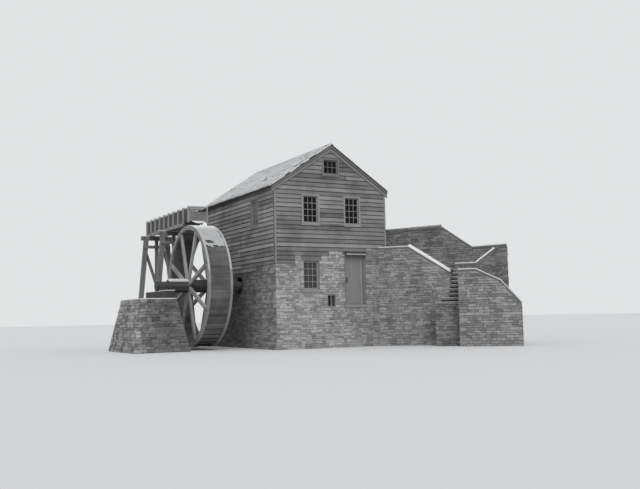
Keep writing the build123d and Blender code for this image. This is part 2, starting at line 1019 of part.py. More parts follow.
def frame_posts(y):
    """The two posts outside the boards, which run a little below the floor."""
    foot = floor_foot - rib_drop
    return [
        block(flume_x - side_half - rib_size, flume_x - side_half, y, y + rib_depth, foot, side_top),
        block(flume_x + side_half, flume_x + side_half + rib_size, y, y + rib_depth, foot, side_top),
    ]


def frame_tie(y):
    half = side_half + rib_size
    return block(flume_x - half, flume_x + half, y, y + rib_depth, side_top, side_top + rib_size)


rib_count = int((flume_end_y - flume_start_y - rib_depth) // rib_pitch) + 1
rib_rows = [flume_start_y + k * rib_pitch for k in range(rib_count)]
pieces["flume_posts"] = group([post for y in rib_rows for post in frame_posts(y)])
pieces["flume_ties"] = group([frame_tie(y) for y in rib_rows])

# Trestle bents: a cap across the stringers, splayed posts, a centre post, a girt and a brace
cap_foot = stringer_foot - cap_size
bent_rows = [bent_first_y + k * bent_pitch for k in range(bent_count)]


def splayed_post(y, side):
    foot_x = side * (post_head_offset + cap_foot * post_batter)
    head_x = side * post_head_offset
    half = post_size / 2
    outline = [
        (flume_x + foot_x - half, 0),
        (flume_x + foot_x + half, 0),
        (flume_x + head_x + half, cap_foot),
        (flume_x + head_x - half, cap_foot),
    ]
    return along_y(outline, y - half, y + half)


def bent_posts(y):
    half = centre_post_size / 2
    centre = block(flume_x - half, flume_x + half, y - half, y + half, 0, cap_foot)
    return [splayed_post(y, -1), centre, splayed_post(y, 1)]


def bent_cap(y):
    """The first cap runs on to the wall of the house."""
    half = cap_length / 2
    x1 = timber_x0 if y == bent_first_y else flume_x + half
    return block(flume_x - half, x1, y - cap_size / 2, y + cap_size / 2, cap_foot, stringer_foot)


def post_offset(level):
    return post_head_offset + (cap_foot - level) * post_batter


def bent_girt(y):
    half = post_offset(girt_level) + post_size / 2
    face = y - post_size / 2
    return block(
        flume_x - half, flume_x + half, face - brace_thickness, face, girt_level - girt_height, girt_level
    )


def bent_brace(y):
    """A plank nailed corner to corner on the far face of the posts."""
    face = y + post_size / 2
    high = girt_level - girt_height
    low = girt_height
    high_x = flume_x - post_offset(high)
    low_x = flume_x + post_offset(low)
    length = math.hypot(high - low, low_x - high_x)
    dx = brace_width / 2 * (high - low) / length
    dz = brace_width / 2 * (low_x - high_x) / length
    outline = [
        (high_x - dx, high - dz),
        (high_x + dx, high + dz),
        (low_x + dx, low + dz),
        (low_x - dx, low - dz),
    ]
    return along_y(outline, face, face + brace_thickness)


pieces["trestle_posts"] = group([post for y in bent_rows for post in bent_posts(y)])
pieces["trestle_caps"] = group([bent_cap(y) for y in bent_rows])
pieces["trestle_braces"] = group([plank for y in bent_rows for plank in (bent_girt(y), bent_brace(y))])

# Retaining walls, copings and stair, drawn in their own plan: u is local X, v is local Y
walls_place = Pos(walls_corner_x, walls_corner_y, 0) * Rot(0, 0, walls_turn)
stone_envelope = block(-house_width, house_width, front, back, -reach, stone_top_right)
timber_envelope = block(-house_width, timber_x1, timber_y0, timber_y1, stone_top_right, 2 * ridge_level)


def in_place(shape):
    """Sets a shape of the walls' plan beside the house, cut where the house stands."""
    return walls_place * shape - stone_envelope - timber_envelope


start_u = -house_width / 2


def wall_run(tops, v0, v1, drop):
    """A wall from the foot up to its stepped or raking top."""
    outline = [(tops[0][0], 0), (tops[-1][0], 0)] + [(u, z - drop) for u, z in reversed(tops)]
    return along_y(outline, v0, v1)


def coping_run(tops, v0, v1):
    outline = list(tops) + [(u, z - coping_thickness) for u, z in reversed(tops)]
    return along_y(outline, v0, v1)


front_tops = [
    (start_u, front_coping_high),
    (front_wall_level_end, front_coping_high),
    (front_wall_end, front_coping_low),
]
upper_tops = [
    (start_u, upper_wall_left_level),
    (upper_wall_crest_u, upper_wall_crest_level),
    (upper_wall_dip_u, upper_wall_dip_level),
    (upper_wall_end_u, upper_wall_end_level),
]
ledge_tops = [
    (ledge_start_u, ledge_level),
    (ledge_bend_u, ledge_level),
    (ledge_end_u, ledge_end_level),
]
wing_tops = [
    (stair_right_u, wing_level),
    (wing_bend_1_u, wing_level),
    (wing_bend_2_u, wing_bend_2_level),
    (wing_bend_3_u, wing_bend_3_level),
    (wing_end_u, wing_end_level),
]
upper_v1 = upper_wall_v + retaining_wall
ledge_v0 = upper_wall_v - ledge_depth
wing_v1 = wing_v + wing_thickness
side_u1 = stair_right_u + wing_thickness
pieces["front_retaining_wall"] = in_place(wall_run(front_tops, 0, retaining_wall, coping_thickness))
pieces["upper_retaining_wall"] = in_place(wall_run(upper_tops, upper_wall_v, upper_v1, coping_thickness))
pieces["ledge_wall"] = in_place(wall_run(ledge_tops, ledge_v0, upper_wall_v, coping_thickness))
pieces["wing_wall"] = in_place(wall_run(wing_tops, wing_v, wing_v1, coping_thickness))
pieces["stair_side_wall"] = in_place(
    block(stair_right_u, side_u1, wing_v1, ledge_v0, 0, wing_level - coping_thickness)
)
side_coping = block(
    stair_right_u,
    side_u1 + coping_overhang,
    wing_v1,
    ledge_v0,
    wing_level - coping_thickness,
    wing_level,
)
pieces["wall_copings"] = group(
    [
        in_place(coping_run(front_tops, -coping_overhang, retaining_wall)),
        in_place(coping_run(upper_tops, upper_wall_v - coping_overhang, upper_v1 + coping_overhang)),
        in_place(coping_run(ledge_tops, ledge_v0 - coping_overhang, upper_wall_v)),
        in_place(coping_run(wing_tops, wing_v - coping_overhang, wing_v1) + side_coping),
    ]
)

# Lower flight: seven stone steps between the wall's end and the side wall, then a landing.
# The first two are longer and run out in front of the wall.
stair_left_u = front_wall_end + stair_joint
step_starts = [stair_left_u - stair_splay_1, stair_left_u - stair_splay_2]
step_starts += [stair_left_u] * (stair_count - len(step_starts))
lower_steps = []
for number, left_u in enumerate(step_starts):
    v0 = stair_first_v + number * stair_run
    tread = door_sill_level + number * stair_rise
    lower_steps.append(block(left_u, stair_right_u, v0, v0 + stair_run - stair_joint, 0, tread))
landing_level = door_sill_level + stair_count * stair_rise
landing_v0 = stair_first_v + stair_count * stair_run
lower_steps.append(block(stair_left_u, stair_right_u, landing_v0, ledge_v0, 0, landing_level))
pieces["lower_steps"] = group([in_place(step) for step in lower_steps])

# Upper flight: turns left at the landing and climbs behind the front wall to a platform
upper_run = (front_wall_end - front_wall_level_end) / upper_stair_count
upper_steps = []
for number in range(upper_stair_count):
    u1 = front_wall_end - number * upper_run
    tread = landing_level + (number + 1) * upper_stair_rise
    left = start_u if number == upper_stair_count - 1 else u1 - upper_run + stair_joint
    upper_steps.append(block(left, u1, retaining_wall, upper_wall_v, 0, tread))
pieces["upper_steps"] = group([in_place(step) for step in upper_steps])

# The origin goes to the middle of the front wall's foot
to_origin = Pos(-middle_x, -stone_wall / 2, 0)
for name, shape in pieces.items():
    export_step(to_origin * shape, f"parts/{name}.step")
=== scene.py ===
import bpy
import json
import math
import random
import numpy as np
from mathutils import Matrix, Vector, noise
from mathutils.bvhtree import BVHTree


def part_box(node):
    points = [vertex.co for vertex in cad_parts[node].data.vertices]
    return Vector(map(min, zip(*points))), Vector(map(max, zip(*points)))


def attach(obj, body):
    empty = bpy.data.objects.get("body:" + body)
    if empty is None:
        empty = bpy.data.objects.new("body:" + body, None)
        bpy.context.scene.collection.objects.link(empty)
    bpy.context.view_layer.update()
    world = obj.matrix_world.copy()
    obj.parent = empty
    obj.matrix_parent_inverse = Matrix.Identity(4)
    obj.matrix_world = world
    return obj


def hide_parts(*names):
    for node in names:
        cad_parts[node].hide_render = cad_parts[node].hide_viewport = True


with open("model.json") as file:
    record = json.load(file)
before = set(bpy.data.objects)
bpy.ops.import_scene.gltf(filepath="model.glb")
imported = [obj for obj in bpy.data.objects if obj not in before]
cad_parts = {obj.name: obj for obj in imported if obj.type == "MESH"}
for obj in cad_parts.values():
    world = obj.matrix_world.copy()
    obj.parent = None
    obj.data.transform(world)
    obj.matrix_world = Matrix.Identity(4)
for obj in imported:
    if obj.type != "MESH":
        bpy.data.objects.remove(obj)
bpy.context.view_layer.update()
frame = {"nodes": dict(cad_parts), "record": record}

node = frame["nodes"]
UP = Vector((0, 0, 1))

# Rubble masonry of the mill house. The ground storey is fieldstone laid in rough courses and
# bedded in lime mortar, up to the boards. Each stone is a hammer-dressed block, pillowed and
# uneven, set a finger's width proud of the mortar, wherever the wall has a face.


def take(*pieces):
    """Makes some objects the only ones selected, the first of them active."""
    bpy.ops.object.select_all(action="DESELECT")
    for piece in pieces:
        piece.select_set(True)
    if pieces:
        bpy.context.view_layer.objects.active = pieces[0]


def linear(text):
    """An sRGB hex colour as Blender's linear colour."""
    channels = [int(text[i : i + 2], 16) / 255 for i in (1, 3, 5)]
    return [c / 12.92 if c <= 0.04045 else ((c + 0.055) / 1.055) ** 2.4 for c in channels] + [1.0]


def add(tree, kind, inputs=None, **settings):
    """Adds one shader node with its settings, and fills or links its inputs."""
    made = tree.nodes.new(kind)
    for key, value in settings.items():
        setattr(made, key, value)
    for key, value in (inputs or {}).items():
        if isinstance(value, bpy.types.NodeSocket):
            tree.links.new(value, made.inputs[key])
        else:
            made.inputs[key].default_value = value
    return made


snow_white = "#e2e3e4"
# Painted shade under the butt of each clapboard: its colour, and the share of the board's height where it
# starts and where it is full.
lap_shade_colour = "#1d1d1d"
lap_start, lap_end = 0.72, 0.96
patch_size = 770
dust_size = 110
grain_reach = 0.22
noise_low, noise_high = 0.3, 0.7


def weathered(
    name, dark, light, grain, pieces=0.0, rough=0.85, bump=0.003, patch=0.4, snow=0.0, lap_shade=0.0, fade=None
):
    """A weathered finish between two greys. grain is the pattern's size in millimetres along X, Y
    and Z. One pixel of the photograph's view is about 40 mm, so wood grain and stone grit, which are
    finer, are drawn as coarse as this to show. pieces is how far whole pieces differ and patch how
    far the surface does from place to place. snow is how much of an upward face is covered, and lap
    how dark the painted shade is under the butt of the next board. fade is a change along one axis:
    the axis, where it starts and ends, its share and the colour it ends in."""
    made = bpy.data.materials.new(name)
    made.use_nodes = True
    tree = made.node_tree
    tree.nodes.clear()
    coordinate = add(tree, "ShaderNodeTexCoord")
    place = coordinate.outputs["Object"]
    shape = add(tree, "ShaderNodeNewGeometry")

    def ramp(value, low, high, start, end):
        return add(tree, "ShaderNodeMapRange", {0: value, 1: low, 2: high, 3: start, 4: end}).outputs[0]

    def mixed(share, first, second):
        mix = add(tree, "ShaderNodeMix", {0: share, 6: first, 7: second}, data_type="RGBA")
        return mix.outputs[2]

    per_metre = [1000 / size for size in grain]
    run = add(tree, "ShaderNodeMapping", {"Vector": place, "Scale": per_metre}).outputs[0]
    fine = add(tree, "ShaderNodeTexNoise", {"Vector": run, "Scale": 1.0, "Detail": 6.0, "Roughness": 0.65})
    broad = add(tree, "ShaderNodeTexNoise", {"Vector": place, "Scale": 1000 / patch_size, "Detail": 4.0})
    tone = ramp(shape.outputs["Random Per Island"], 0, 1, 0.5 - pieces / 2, 0.5 + pieces / 2)
    for texture, reach in ((fine, grain_reach), (broad, patch / 2)):
        value = ramp(texture.outputs[0], noise_low, noise_high, -reach, reach)
        tone = add(tree, "ShaderNodeMath", {0: tone, 1: value}, operation="ADD").outputs[0]
    colour = mixed(ramp(tone, 0, 1, 0, 1), linear(dark), linear(light))
    if fade:
        axis, start, end, share, shade = fade
        along = add(tree, "ShaderNodeSeparateXYZ", {0: place}).outputs[axis]
        colour = mixed(ramp(along, start, end, 0, share), colour, linear(shade))
    # Painted shade under the butt of the next board, across the top of each board.
    if lap_shade:
        height = add(tree, "ShaderNodeSeparateXYZ", {0: coordinate.outputs["UV"]}).outputs[1]
        colour = mixed(ramp(height, lap_start, lap_end, 0, lap_shade), colour, linear(lap_shade_colour))
    if snow:
        upward = add(tree, "ShaderNodeSeparateXYZ", {0: shape.outputs["Normal"]}).outputs[2]
        inputs = {"Vector": place, "Scale": 1000 / dust_size, "Detail": 5.0, "Roughness": 0.7}
        dust = add(tree, "ShaderNodeTexNoise", inputs)
        laid = add(tree, "ShaderNodeMath", {0: upward, 1: dust.outputs[0]}, operation="MULTIPLY").outputs[0]
        colour = mixed(ramp(laid, 0.5 - 0.4 * snow, 0.58 - 0.4 * snow, 0, 1), colour, linear(snow_white))
    relief = add(tree, "ShaderNodeBump", {"Height": fine.outputs[0], "Strength": 0.6, "Distance": bump})
    inputs = {"Base Color": colour, "Roughness": rough, "Normal": relief.outputs[0]}
    shader = add(tree, "ShaderNodeBsdfPrincipled", inputs)
    add(tree, "ShaderNodeOutputMaterial", {0: shader.outputs[0]})
    return made


def dress(material, *names):
    """Gives CAD pieces a finish."""
    for name in names:
        mesh = node[name].data
        mesh.materials.clear()
        mesh.materials.append(material)


def settle(piece, name, finish, body="building"):
    """Names a finished piece, gives it its finish and says what it belongs to."""
    piece.name = name
    piece.data.materials.clear()
    piece.data.materials.append(finish)
    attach(piece, body)
    return piece


# Hammer-dressed fieldstone: matt and gritty, its grey changing from stone to stone. It is darker
# towards the stair's side of the front, which is painted shade, and by the wheel, where spray has stained it.
# One dark grey, for damp stains and for painted shade alike.
damp_and_shade = "#2a2a2a"
by_wheel = (1, 0.6, 3.4, 0.6, damp_and_shade)
stair_shade = (0, 0.2, 2.5, 0.35, damp_and_shade)
stone_grit = (70, 70, 70)
fieldstone = weathered(
    "lime-bedded fieldstone", "#6b6b6b", "#adadad", stone_grit, pieces=0.7, snow=0.1, fade=stair_shade
)
side_stone = weathered("fieldstone by the wheel", "#5a5a5a", "#9c9c9c", stone_grit, pieces=0.7, fade=by_wheel)
# Lime mortar, leached by rain: matt, even and close to the stones' middle grey.
mortar_grit = (33, 33, 33)
mortar = weathered("lime mortar", "#737373", "#8b8b8b", mortar_grit)
side_mortar = weathered("damp lime mortar", "#686868", "#808080", mortar_grit, fade=by_wheel)

# Search trees of the CAD pieces tell where a wall has a face and where another piece covers it. A
# ray up leans a little, so that it doesn't run along a seam.
tree_of = {}
for name, piece in node.items():
    faces = [tuple(f.vertices) for f in piece.data.polygons]
    tree_of[name] = BVHTree.FromPolygons([v.co for v in piece.data.vertices], faces)
fixed = [name for name in node if name in frame["record"]["behaviour"]["bodies"]["building"]]
nearly_up = Vector((0.013, 0.017, 1)).normalized()


def buried(point):
    """True inside any fixed CAD piece, where the first face above is met from behind."""
    for name in fixed:
        hit, normal, _, _ = tree_of[name].ray_cast(point, nearly_up)
        if hit and normal.dot(nearly_up) > 0:
            return True
    return False


# How near a point or edge has to be to count as flush or level, and how far out a face is probed.
flush = 0.002
level_edge = 0.001
shortest_edge = 0.1
closest_levels = 0.04
probe_from, probe_reach = 0.02, 0.03
open_air = 0.012


def surface_of(names, outward):
    """The outermost face of some CAD pieces, seen along a direction: its points, its levels, and a
    test of where it is solid and open to the air."""
    outward = Vector(outward).normalized()
    along = UP.cross(outward).normalized()
    up = outward.cross(along)
    depth = max(v.co.dot(outward) for name in names for v in node[name].data.vertices)
    levels, sides = set(), []
    for name in names:
        mesh = node[name].data
        for edge in mesh.edges:
            a, b = (mesh.vertices[i].co for i in edge.vertices)
            if min(a.dot(outward), b.dot(outward)) < depth - flush:
                continue
            sides += [a.dot(along), b.dot(along)]
            if abs(a.dot(up) - b.dot(up)) < level_edge and (a - b).length > shortest_edge:
                levels.add(round(a.dot(up), 3))
        ends = [v.co.dot(up) for v in mesh.vertices if v.co.dot(outward) > depth - flush]
        if ends:
            levels |= {round(min(ends), 3), round(max(ends), 3)}
    kept = []
    for z in sorted(levels):
        if not kept or z - kept[-1] > closest_levels:
            kept.append(z)
    trees = [tree_of[name] for name in names]

    def point(x, z, out=0.0):
        return along * x + up * z + outward * (depth + out)

    def solid(x, z):
        start = point(x, z, probe_from)
        if not any(tree.ray_cast(start, -outward, probe_reach)[0] for tree in trees):
            return False
        return not buried(point(x, z, open_air))

    return {"point": point, "solid": solid, "out": outward, "levels": kept, "x": (min(sides), max(sides))}


span_inset = 0.004
halvings = 5


def spans(face, z, step=0.05):
    """The stretches of a face that are solid at one height, their ends found by halving."""
    x0, x1 = face["x"]
    count = max(2, int((x1 - x0) / step))
    inside = x1 - x0 - 2 * span_inset
    marks = [x0 + span_inset + inside * i / count for i in range(count + 1)]
    state = [face["solid"](x, z) for x in marks]
    edges = [x0] if state[0] else []
    for i in range(count):
        low, high = marks[i], marks[i + 1]
        if state[i] == state[i + 1]:
            continue
        for _ in range(halvings):
            middle = (low + high) / 2
            if face["solid"](middle, z) == state[i]:
                low = middle
            else:
                high = middle
        edges.append((low + high) / 2)
    if state[-1]:
        edges.append(x1)
    return list(zip(edges[::2], edges[1::2]))


def bands(face, course, draw, uneven=0.27):
    """Heights of the courses, uneven but meeting every level where the face changes."""
    rows = []
    for low, high in zip(face["levels"], face["levels"][1:]):
        count = max(1, round((high - low) / course))
        cuts = [low + (high - low) * i / count for i in range(count + 1)]
        for i in range(1, count):
            cuts[i] += draw.uniform(-uneven, uneven) * course
        rows += list(zip(cuts, cuts[1:]))
    return rows


def courses(face, rows, length, spread, joint, draw):
    """Cells for the blocks of each course, as bottom left, bottom right, top right, top left. The
    blocks' lengths differ by a spread, and the last one takes what is left over."""
    cells = []
    for z0, z1 in rows:
        edge = min(0.01, (z1 - z0) / 4)
        lower, upper = spans(face, z0 + edge), spans(face, z1 - edge)
        if len(lower) != len(upper):
            lower = upper = spans(face, (z0 + z1) / 2)
        for (a0, b0), (a1, b1) in zip(lower, upper):
            if min(b0, b1) < max(a0, a1):
                continue
            start = 0.0
            reach = max(b0 - a0, b1 - a1, 0.01)
            while start < 1:
                size = length * draw.uniform(1 - spread, 1 + spread) / reach
                end = 1.0 if start + size * 1.4 > 1 else start + size
                left = start + (joint / reach / 2 if start > 0 else 0)
                right = end - (joint / reach / 2 if end < 1 else 0)
                bottom = [face["point"](a0 + (b0 - a0) * k, z0 + joint / 2) for k in (left, right)]
                top = [face["point"](a1 + (b1 - a1) * k, z1 - joint / 2) for k in (right, left)]
                cells.append(bottom + top)
                start = end
    return cells


def lay(blocks, cells, outs, depths, heights=None, jitter=0.0, wave=0.0, seed=1):
    """Copies modelled blocks into cells. A block fills x and z from 0 to 1 and stands out along -y.
    depths are how far each cell stands out at foot and head, heights where it is on its board, and
    wave how far courses rise and dip, along the house in swells of about 1.5 m and 0.65 m."""
    draw = np.random.default_rng(seed)
    corner = np.array(cells, float).reshape(-1, 4, 3)
    run = corner[..., 0] + corner[..., 1]
    long_swell = np.sin(4.1 * run + 5.3 * corner[..., 2])
    short_swell = np.sin(9.7 * run - 3.1 * corner[..., 2])
    corner[..., 2] += wave * (long_swell + short_swell) / 2
    corner += draw.uniform(-jitter, jitter, corner.shape)
    out, depth = np.array(outs, float), np.array(depths, float)
    level = np.array(heights or [(0, 1)] * len(cells), float)
    choice = draw.integers(0, len(blocks), len(corner))
    points, faces, grid, start = [], [], [], 0
    for kind, (block_points, polygons) in enumerate(blocks):
        rows = np.nonzero(choice == kind)[0]
        x, y, z = (block_points[:, k][None, :, None] for k in range(3))
        c = corner[rows][:, :, None, :]
        foot = c[:, 0] * (1 - x) + c[:, 1] * x
        head = c[:, 3] * (1 - x) + c[:, 2] * x
        stand = depth[rows][:, None, :1] * (1 - z) + depth[rows][:, None, 1:] * z
        laid = foot * (1 - z) + head * z - out[rows][:, None, :] * y * stand
        board = level[rows][:, None, :1] * (1 - z) + level[rows][:, None, 1:] * z
        points.append(laid.reshape(-1, 3))
        grid.append(np.concatenate([x + 0 * board, board], 2).reshape(-1, 2))
        for k in range(len(rows)):
            base = start + k * len(block_points)
            faces += [tuple(base + i for i in polygon) for polygon in polygons]
        start += len(rows) * len(block_points)
    mesh = bpy.data.meshes.new("laid")
    mesh.from_pydata(np.concatenate(points).tolist(), [], faces)
    grid = np.concatenate(grid)
    corners = np.array([i for face in faces for i in face])
    mesh.uv_layers.new(name="UVMap").data.foreach_set("uv", grid[corners].ravel())
    piece = bpy.data.objects.new("laid", mesh)
    bpy.context.scene.collection.objects.link(piece)
    return piece


def read_block(piece):
    """A modelled block's points and faces, to copy. The model itself is thrown away."""
    block_points = np.array([v.co for v in piece.data.vertices])
    polygons = [tuple(p.vertices) for p in piece.data.polygons]
    bpy.data.objects.remove(piece)
    return block_points, polygons


def cube(low, high):
    """A box between two corners, its place in its mesh."""
    take()
    low, high = Vector(low), Vector(high)
    bpy.ops.mesh.primitive_cube_add(size=1, location=(low + high) / 2)
    piece = bpy.context.object
    piece.scale = high - low
    bpy.ops.object.transform_apply(location=True, rotation=True, scale=True)
    return piece


def eased(piece, width, segments=1, knock=0.0, seed=0):
    """A piece with all its edges bevelled, and its points then knocked about."""
    take(piece)
    bpy.ops.object.mode_set(mode="EDIT")
    bpy.ops.mesh.select_all(action="SELECT")
    bpy.ops.mesh.bevel(offset=width, segments=segments, affect="EDGES")
    if knock:
        bpy.ops.transform.vertex_random(offset=knock, seed=seed)
    bpy.ops.object.mode_set(mode="OBJECT")
    return piece


def stone_block(seed):
    """One hammer-dressed stone, a tenth of it sunk in the mortar."""
    return read_block(eased(cube((0, -0.9, 0), (1, 0.1, 1)), 0.12, knock=0.05, seed=seed))


stones = [stone_block(k) for k in range(6)]
stone_proud = 0.024
stone_joint = 0.01
stone_spread = 0.55
stone_jitter = 0.09
course_sway = 0.14


def rubble(name, faces, course, length, finish, seed):
    """A skin of rubble over some faces of the masonry. Its unevenness grows with the course."""
    draw = random.Random(seed)
    cells, outs = [], []
    for names, outward in faces:
        face = surface_of(names, outward)
        laid = courses(face, bands(face, course, draw), length, stone_spread, stone_joint, draw)
        cells += laid
        outs += [face["out"]] * len(laid)
    depths = [[stone_proud * draw.uniform(0.6, 1.4)] * 2 for _ in cells]
    jitter, wave = course * stone_jitter, course * course_sway
    skin = lay(stones, cells, outs, depths, jitter=jitter, wave=wave, seed=seed)
    return settle(skin, name, finish)


front_walls = ["front_wall_left", "front_wall_right", "front_wall_under_door"]
side_walls = ["left_wall", "shaft_surround"]
front_face = [(front_walls, (0, -1, 0))]
left_face = [(side_walls + ["front_wall_left", "back_wall"], (-1, 0, 0))]
right_face = [(["right_wall", "front_wall_right", "back_wall"], (1, 0, 0))]
back_face = [(["back_wall"], (0, 1, 0))]
rubble("front_rubble", front_face, 0.095, 0.21, fieldstone, 11)
rubble("left_rubble", left_face, 0.1, 0.23, side_stone, 12)
rubble("right_rubble", right_face, 0.13, 0.27, fieldstone, 13)
rubble("back_rubble", back_face, 0.13, 0.27, fieldstone, 14)
dress(mortar, *front_walls, "right_wall", "back_wall", "stone_sills")
dress(side_mortar, *side_walls)

# Outer pier, which carries the wheel's outer bearing. It is the same rubble in larger, darker
# stones, battered on all four sides and damp on the wheel's. Its head is white with snow, which
# is soft-edged and sags a little, as on every level piece.

# Pier stone, wet and blotched: darker than the house's, most of all on the wheel's side. Its
# mortar is dark with damp.
to_wheel = (0, -7.5, -6.9, 0.55, damp_and_shade)
pier_grit = (80, 80, 80)
pier_stone = weathered(
    "damp pier stone", "#4c4c4c", "#a0a0a0", pier_grit, pieces=0.7, patch=0.6, snow=0.12, fade=to_wheel
)
pier_mortar = weathered("damp pier mortar", "#424242", "#565656", mortar_grit)
# Settled snow, crusted by frost: matt and even, a shade under the sky.
snow_ripple = (330, 330, 330)
snow = weathered(
    "settled snow", "#b2b3b4", "#cccdce", snow_ripple, rough=0.9, bump=0.002, patch=0.3, snow=0.15
)


def copy_of(source):
    """A loose copy of a piece, its doubled points merged."""
    made = source.copy()
    made.data = source.data.copy()
    made.parent = None
    bpy.context.scene.collection.objects.link(made)
    take(made)
    bpy.ops.object.mode_set(mode="EDIT")
    bpy.ops.mesh.select_all(action="SELECT")
    bpy.ops.mesh.remove_doubles(threshold=0.0002)
    bpy.ops.object.mode_set(mode="OBJECT")
    return made


def pick_faces(piece, wanted):
    """Selects the faces that a test names, and stays in edit mode."""
    take(piece)
    bpy.ops.object.mode_set(mode="EDIT")
    bpy.ops.mesh.select_mode(type="FACE")
    bpy.ops.mesh.select_all(action="DESELECT")
    bpy.ops.object.mode_set(mode="OBJECT")
    for face in piece.data.polygons:
        face.select = wanted(face)
    bpy.ops.object.mode_set(mode="EDIT")


def drop_faces(piece, unwanted):
    """Deletes the faces that a test names."""
    pick_faces(piece, unwanted)
    bpy.ops.mesh.delete(type="FACE")
    bpy.ops.object.mode_set(mode="OBJECT")


def snow_on(name, source, depth, body="building", steep=0.6, where=None, step=0.35, finish=snow):
    """Snow on the upward faces of a piece: the faces copied, cut up, raised and rounded off."""
    piece = copy_of(source)
    drop_faces(piece, lambda face: face.normal.z < steep)
    places = [v.co.copy() for v in piece.data.vertices]
    bpy.ops.object.mode_set(mode="EDIT")
    bpy.ops.mesh.select_mode(type="VERT")
    bpy.ops.mesh.select_all(action="SELECT")
    bpy.ops.mesh.dissolve_limited(angle_limit=0.02)
    for axis in range(2):
        low, high = min(p[axis] for p in places), max(p[axis] for p in places)
        for k in range(1, int((high - low) / step) + 1):
            plane = Vector((0, 0, 0))
            plane[axis] = 1
            bpy.ops.mesh.select_all(action="SELECT")
            bpy.ops.mesh.bisect(plane_co=plane * (low + k * step), plane_no=plane)
    if where:
        bpy.ops.object.mode_set(mode="OBJECT")
        drop_faces(piece, lambda face: not where(face.center))
        bpy.ops.object.mode_set(mode="EDIT")
    bpy.ops.mesh.select_mode(type="FACE")
    bpy.ops.mesh.select_all(action="SELECT")
    bpy.ops.mesh.extrude_region_move(TRANSFORM_OT_translate={"value": (0, 0, depth * 0.6)})
    bpy.ops.mesh.inset(thickness=depth * 0.35)
    bpy.ops.transform.translate(value=(0, 0, depth * 0.4))
    bpy.ops.transform.vertex_random(offset=depth * 0.12, seed=len(places))
    bpy.ops.mesh.select_all(action="SELECT")
    bpy.ops.mesh.normals_make_consistent(inside=False)
    bpy.ops.object.mode_set(mode="OBJECT")
    return settle(piece, name, finish, body)


batter = 0.2
pier_faces = [(["outer_pier"], (x, y, batter)) for x, y in ((-1, 0), (0, -1), (1, 0), (0, 1))]
rubble("pier_rubble", pier_faces, 0.13, 0.23, pier_stone, 21)
dress(pier_mortar, "outer_pier")
snow_on("pier_snow", node["outer_pier"], 0.04)

# Retaining walls. They run out at 45 degrees from the corner of the house, in the same rubble,
# under flat coping slabs. Snow lies on the slabs, and has drifted deepest where they slope.

# Retaining wall stone: matt and gritty, a shade darker than the house's. The front wall and the
# wing wall beside the stair are drier and paler.
wall_stone = weathered("retaining wall fieldstone", "#4e4e4e", "#828282", stone_grit, pieces=0.7, snow=0.1)
dry_stone = weathered("front retaining fieldstone", "#5e5e5e", "#989898", stone_grit, pieces=0.7, snow=0.1)
wall_mortar = weathered("retaining wall mortar", "#545454", "#6c6c6c", mortar_grit)
# Coping stone, sawn and rained on: dull and even, with snow in its hollows.
slab_grit = (100, 100, 100)
coping = weathered("coping stone", "#4c4c4c", "#6c6c6c", slab_grit, snow=0.2)
# Drifted snow, loose and fresh: nearly white.
drift = weathered("drifted snow", "#cdcecf", "#e4e5e6", snow_ripple, rough=0.9, bump=0.002, patch=0.3)
out_front, out_back, out_end, out_stair = (-1, -1, 0), (1, 1, 0), (1, -1, 0), (-1, 1, 0)
runs = {
    "front_retaining": [("front_retaining_wall", out_front), ("front_retaining_wall", out_end)],
    "upper_retaining": [("upper_retaining_wall", way) for way in (out_front, out_back, out_end)],
    "ledge": [("ledge_wall", out_front), ("ledge_wall", out_end)],
    "wing": [("wing_wall", way) for way in (out_front, out_back, out_end, out_stair)],
    "stair_side": [("stair_side_wall", out_stair), ("stair_side_wall", out_end)],
    "stair_foot": [("lower_steps", out_front)],
}
for number, (name, faces) in enumerate(runs.items()):
    faces = [([wall], way) for wall, way in faces]
    stone = dry_stone if name in ("front_retaining", "wing") else wall_stone
    rubble(name + "_rubble", faces, 0.1, 0.24, stone, 31 + number)
dress(wall_mortar, "front_retaining_wall", "upper_retaining_wall", "ledge_wall", "wing_wall")
dress(wall_mortar, "stair_side_wall")
dress(coping, "wall_copings")
wall_corner = Vector((2.305, -0.275, 0))
slope_start, slope_end = 1.26, 2.95
front_wall_depth = 0.6
bank_depth = 2.0
ledge_rise, ledge_depth = 3.9, 1.6


def run_and_depth(centre):
    """How far along the retaining walls a point is, and how far into the bank."""
    place = centre - wall_corner
    return place.dot(Vector(out_end).normalized()), place.dot(Vector(out_back).normalized())


def on_slope(centre):
    """True on the sloping part of the front wall's coping, where the snow has drifted deepest."""
    run, depth = run_and_depth(centre)
    return slope_start < run < slope_end and depth < front_wall_depth


def by_bank(centre):
    """True on the upper wall and the rise of the ledge, which catch the snow off the bank."""
    run, depth = run_and_depth(centre)
    return depth > bank_depth or run > ledge_rise and ledge_depth < depth < bank_depth


def elsewhere(centre):
    return not on_slope(centre) and not by_bank(centre)


snow_on("coping_snow", node["wall_copings"], 0.045, where=elsewhere)
snow_on("coping_drift", node["wall_copings"], 0.13, where=on_slope, finish=drift)
snow_on("bank_coping_snow", node["wall_copings"], 0.09, where=by_bank, finish=drift)

# Stair between the retaining walls. Each tread is one slab with a nosing and eased edges, bedded
# on the masonry of the flight, and swept nearly clear of snow.

# Stair stone: the risers are in shade and dark, the treads worn smooth and paler.
riser = weathered("shaded stair riser", "#262626", "#3c3c3c", slab_grit)
tread = weathered("worn tread slab", "#5c5c5c", "#787878", slab_grit, pieces=0.2)
dress(riser, "lower_steps", "upper_steps")


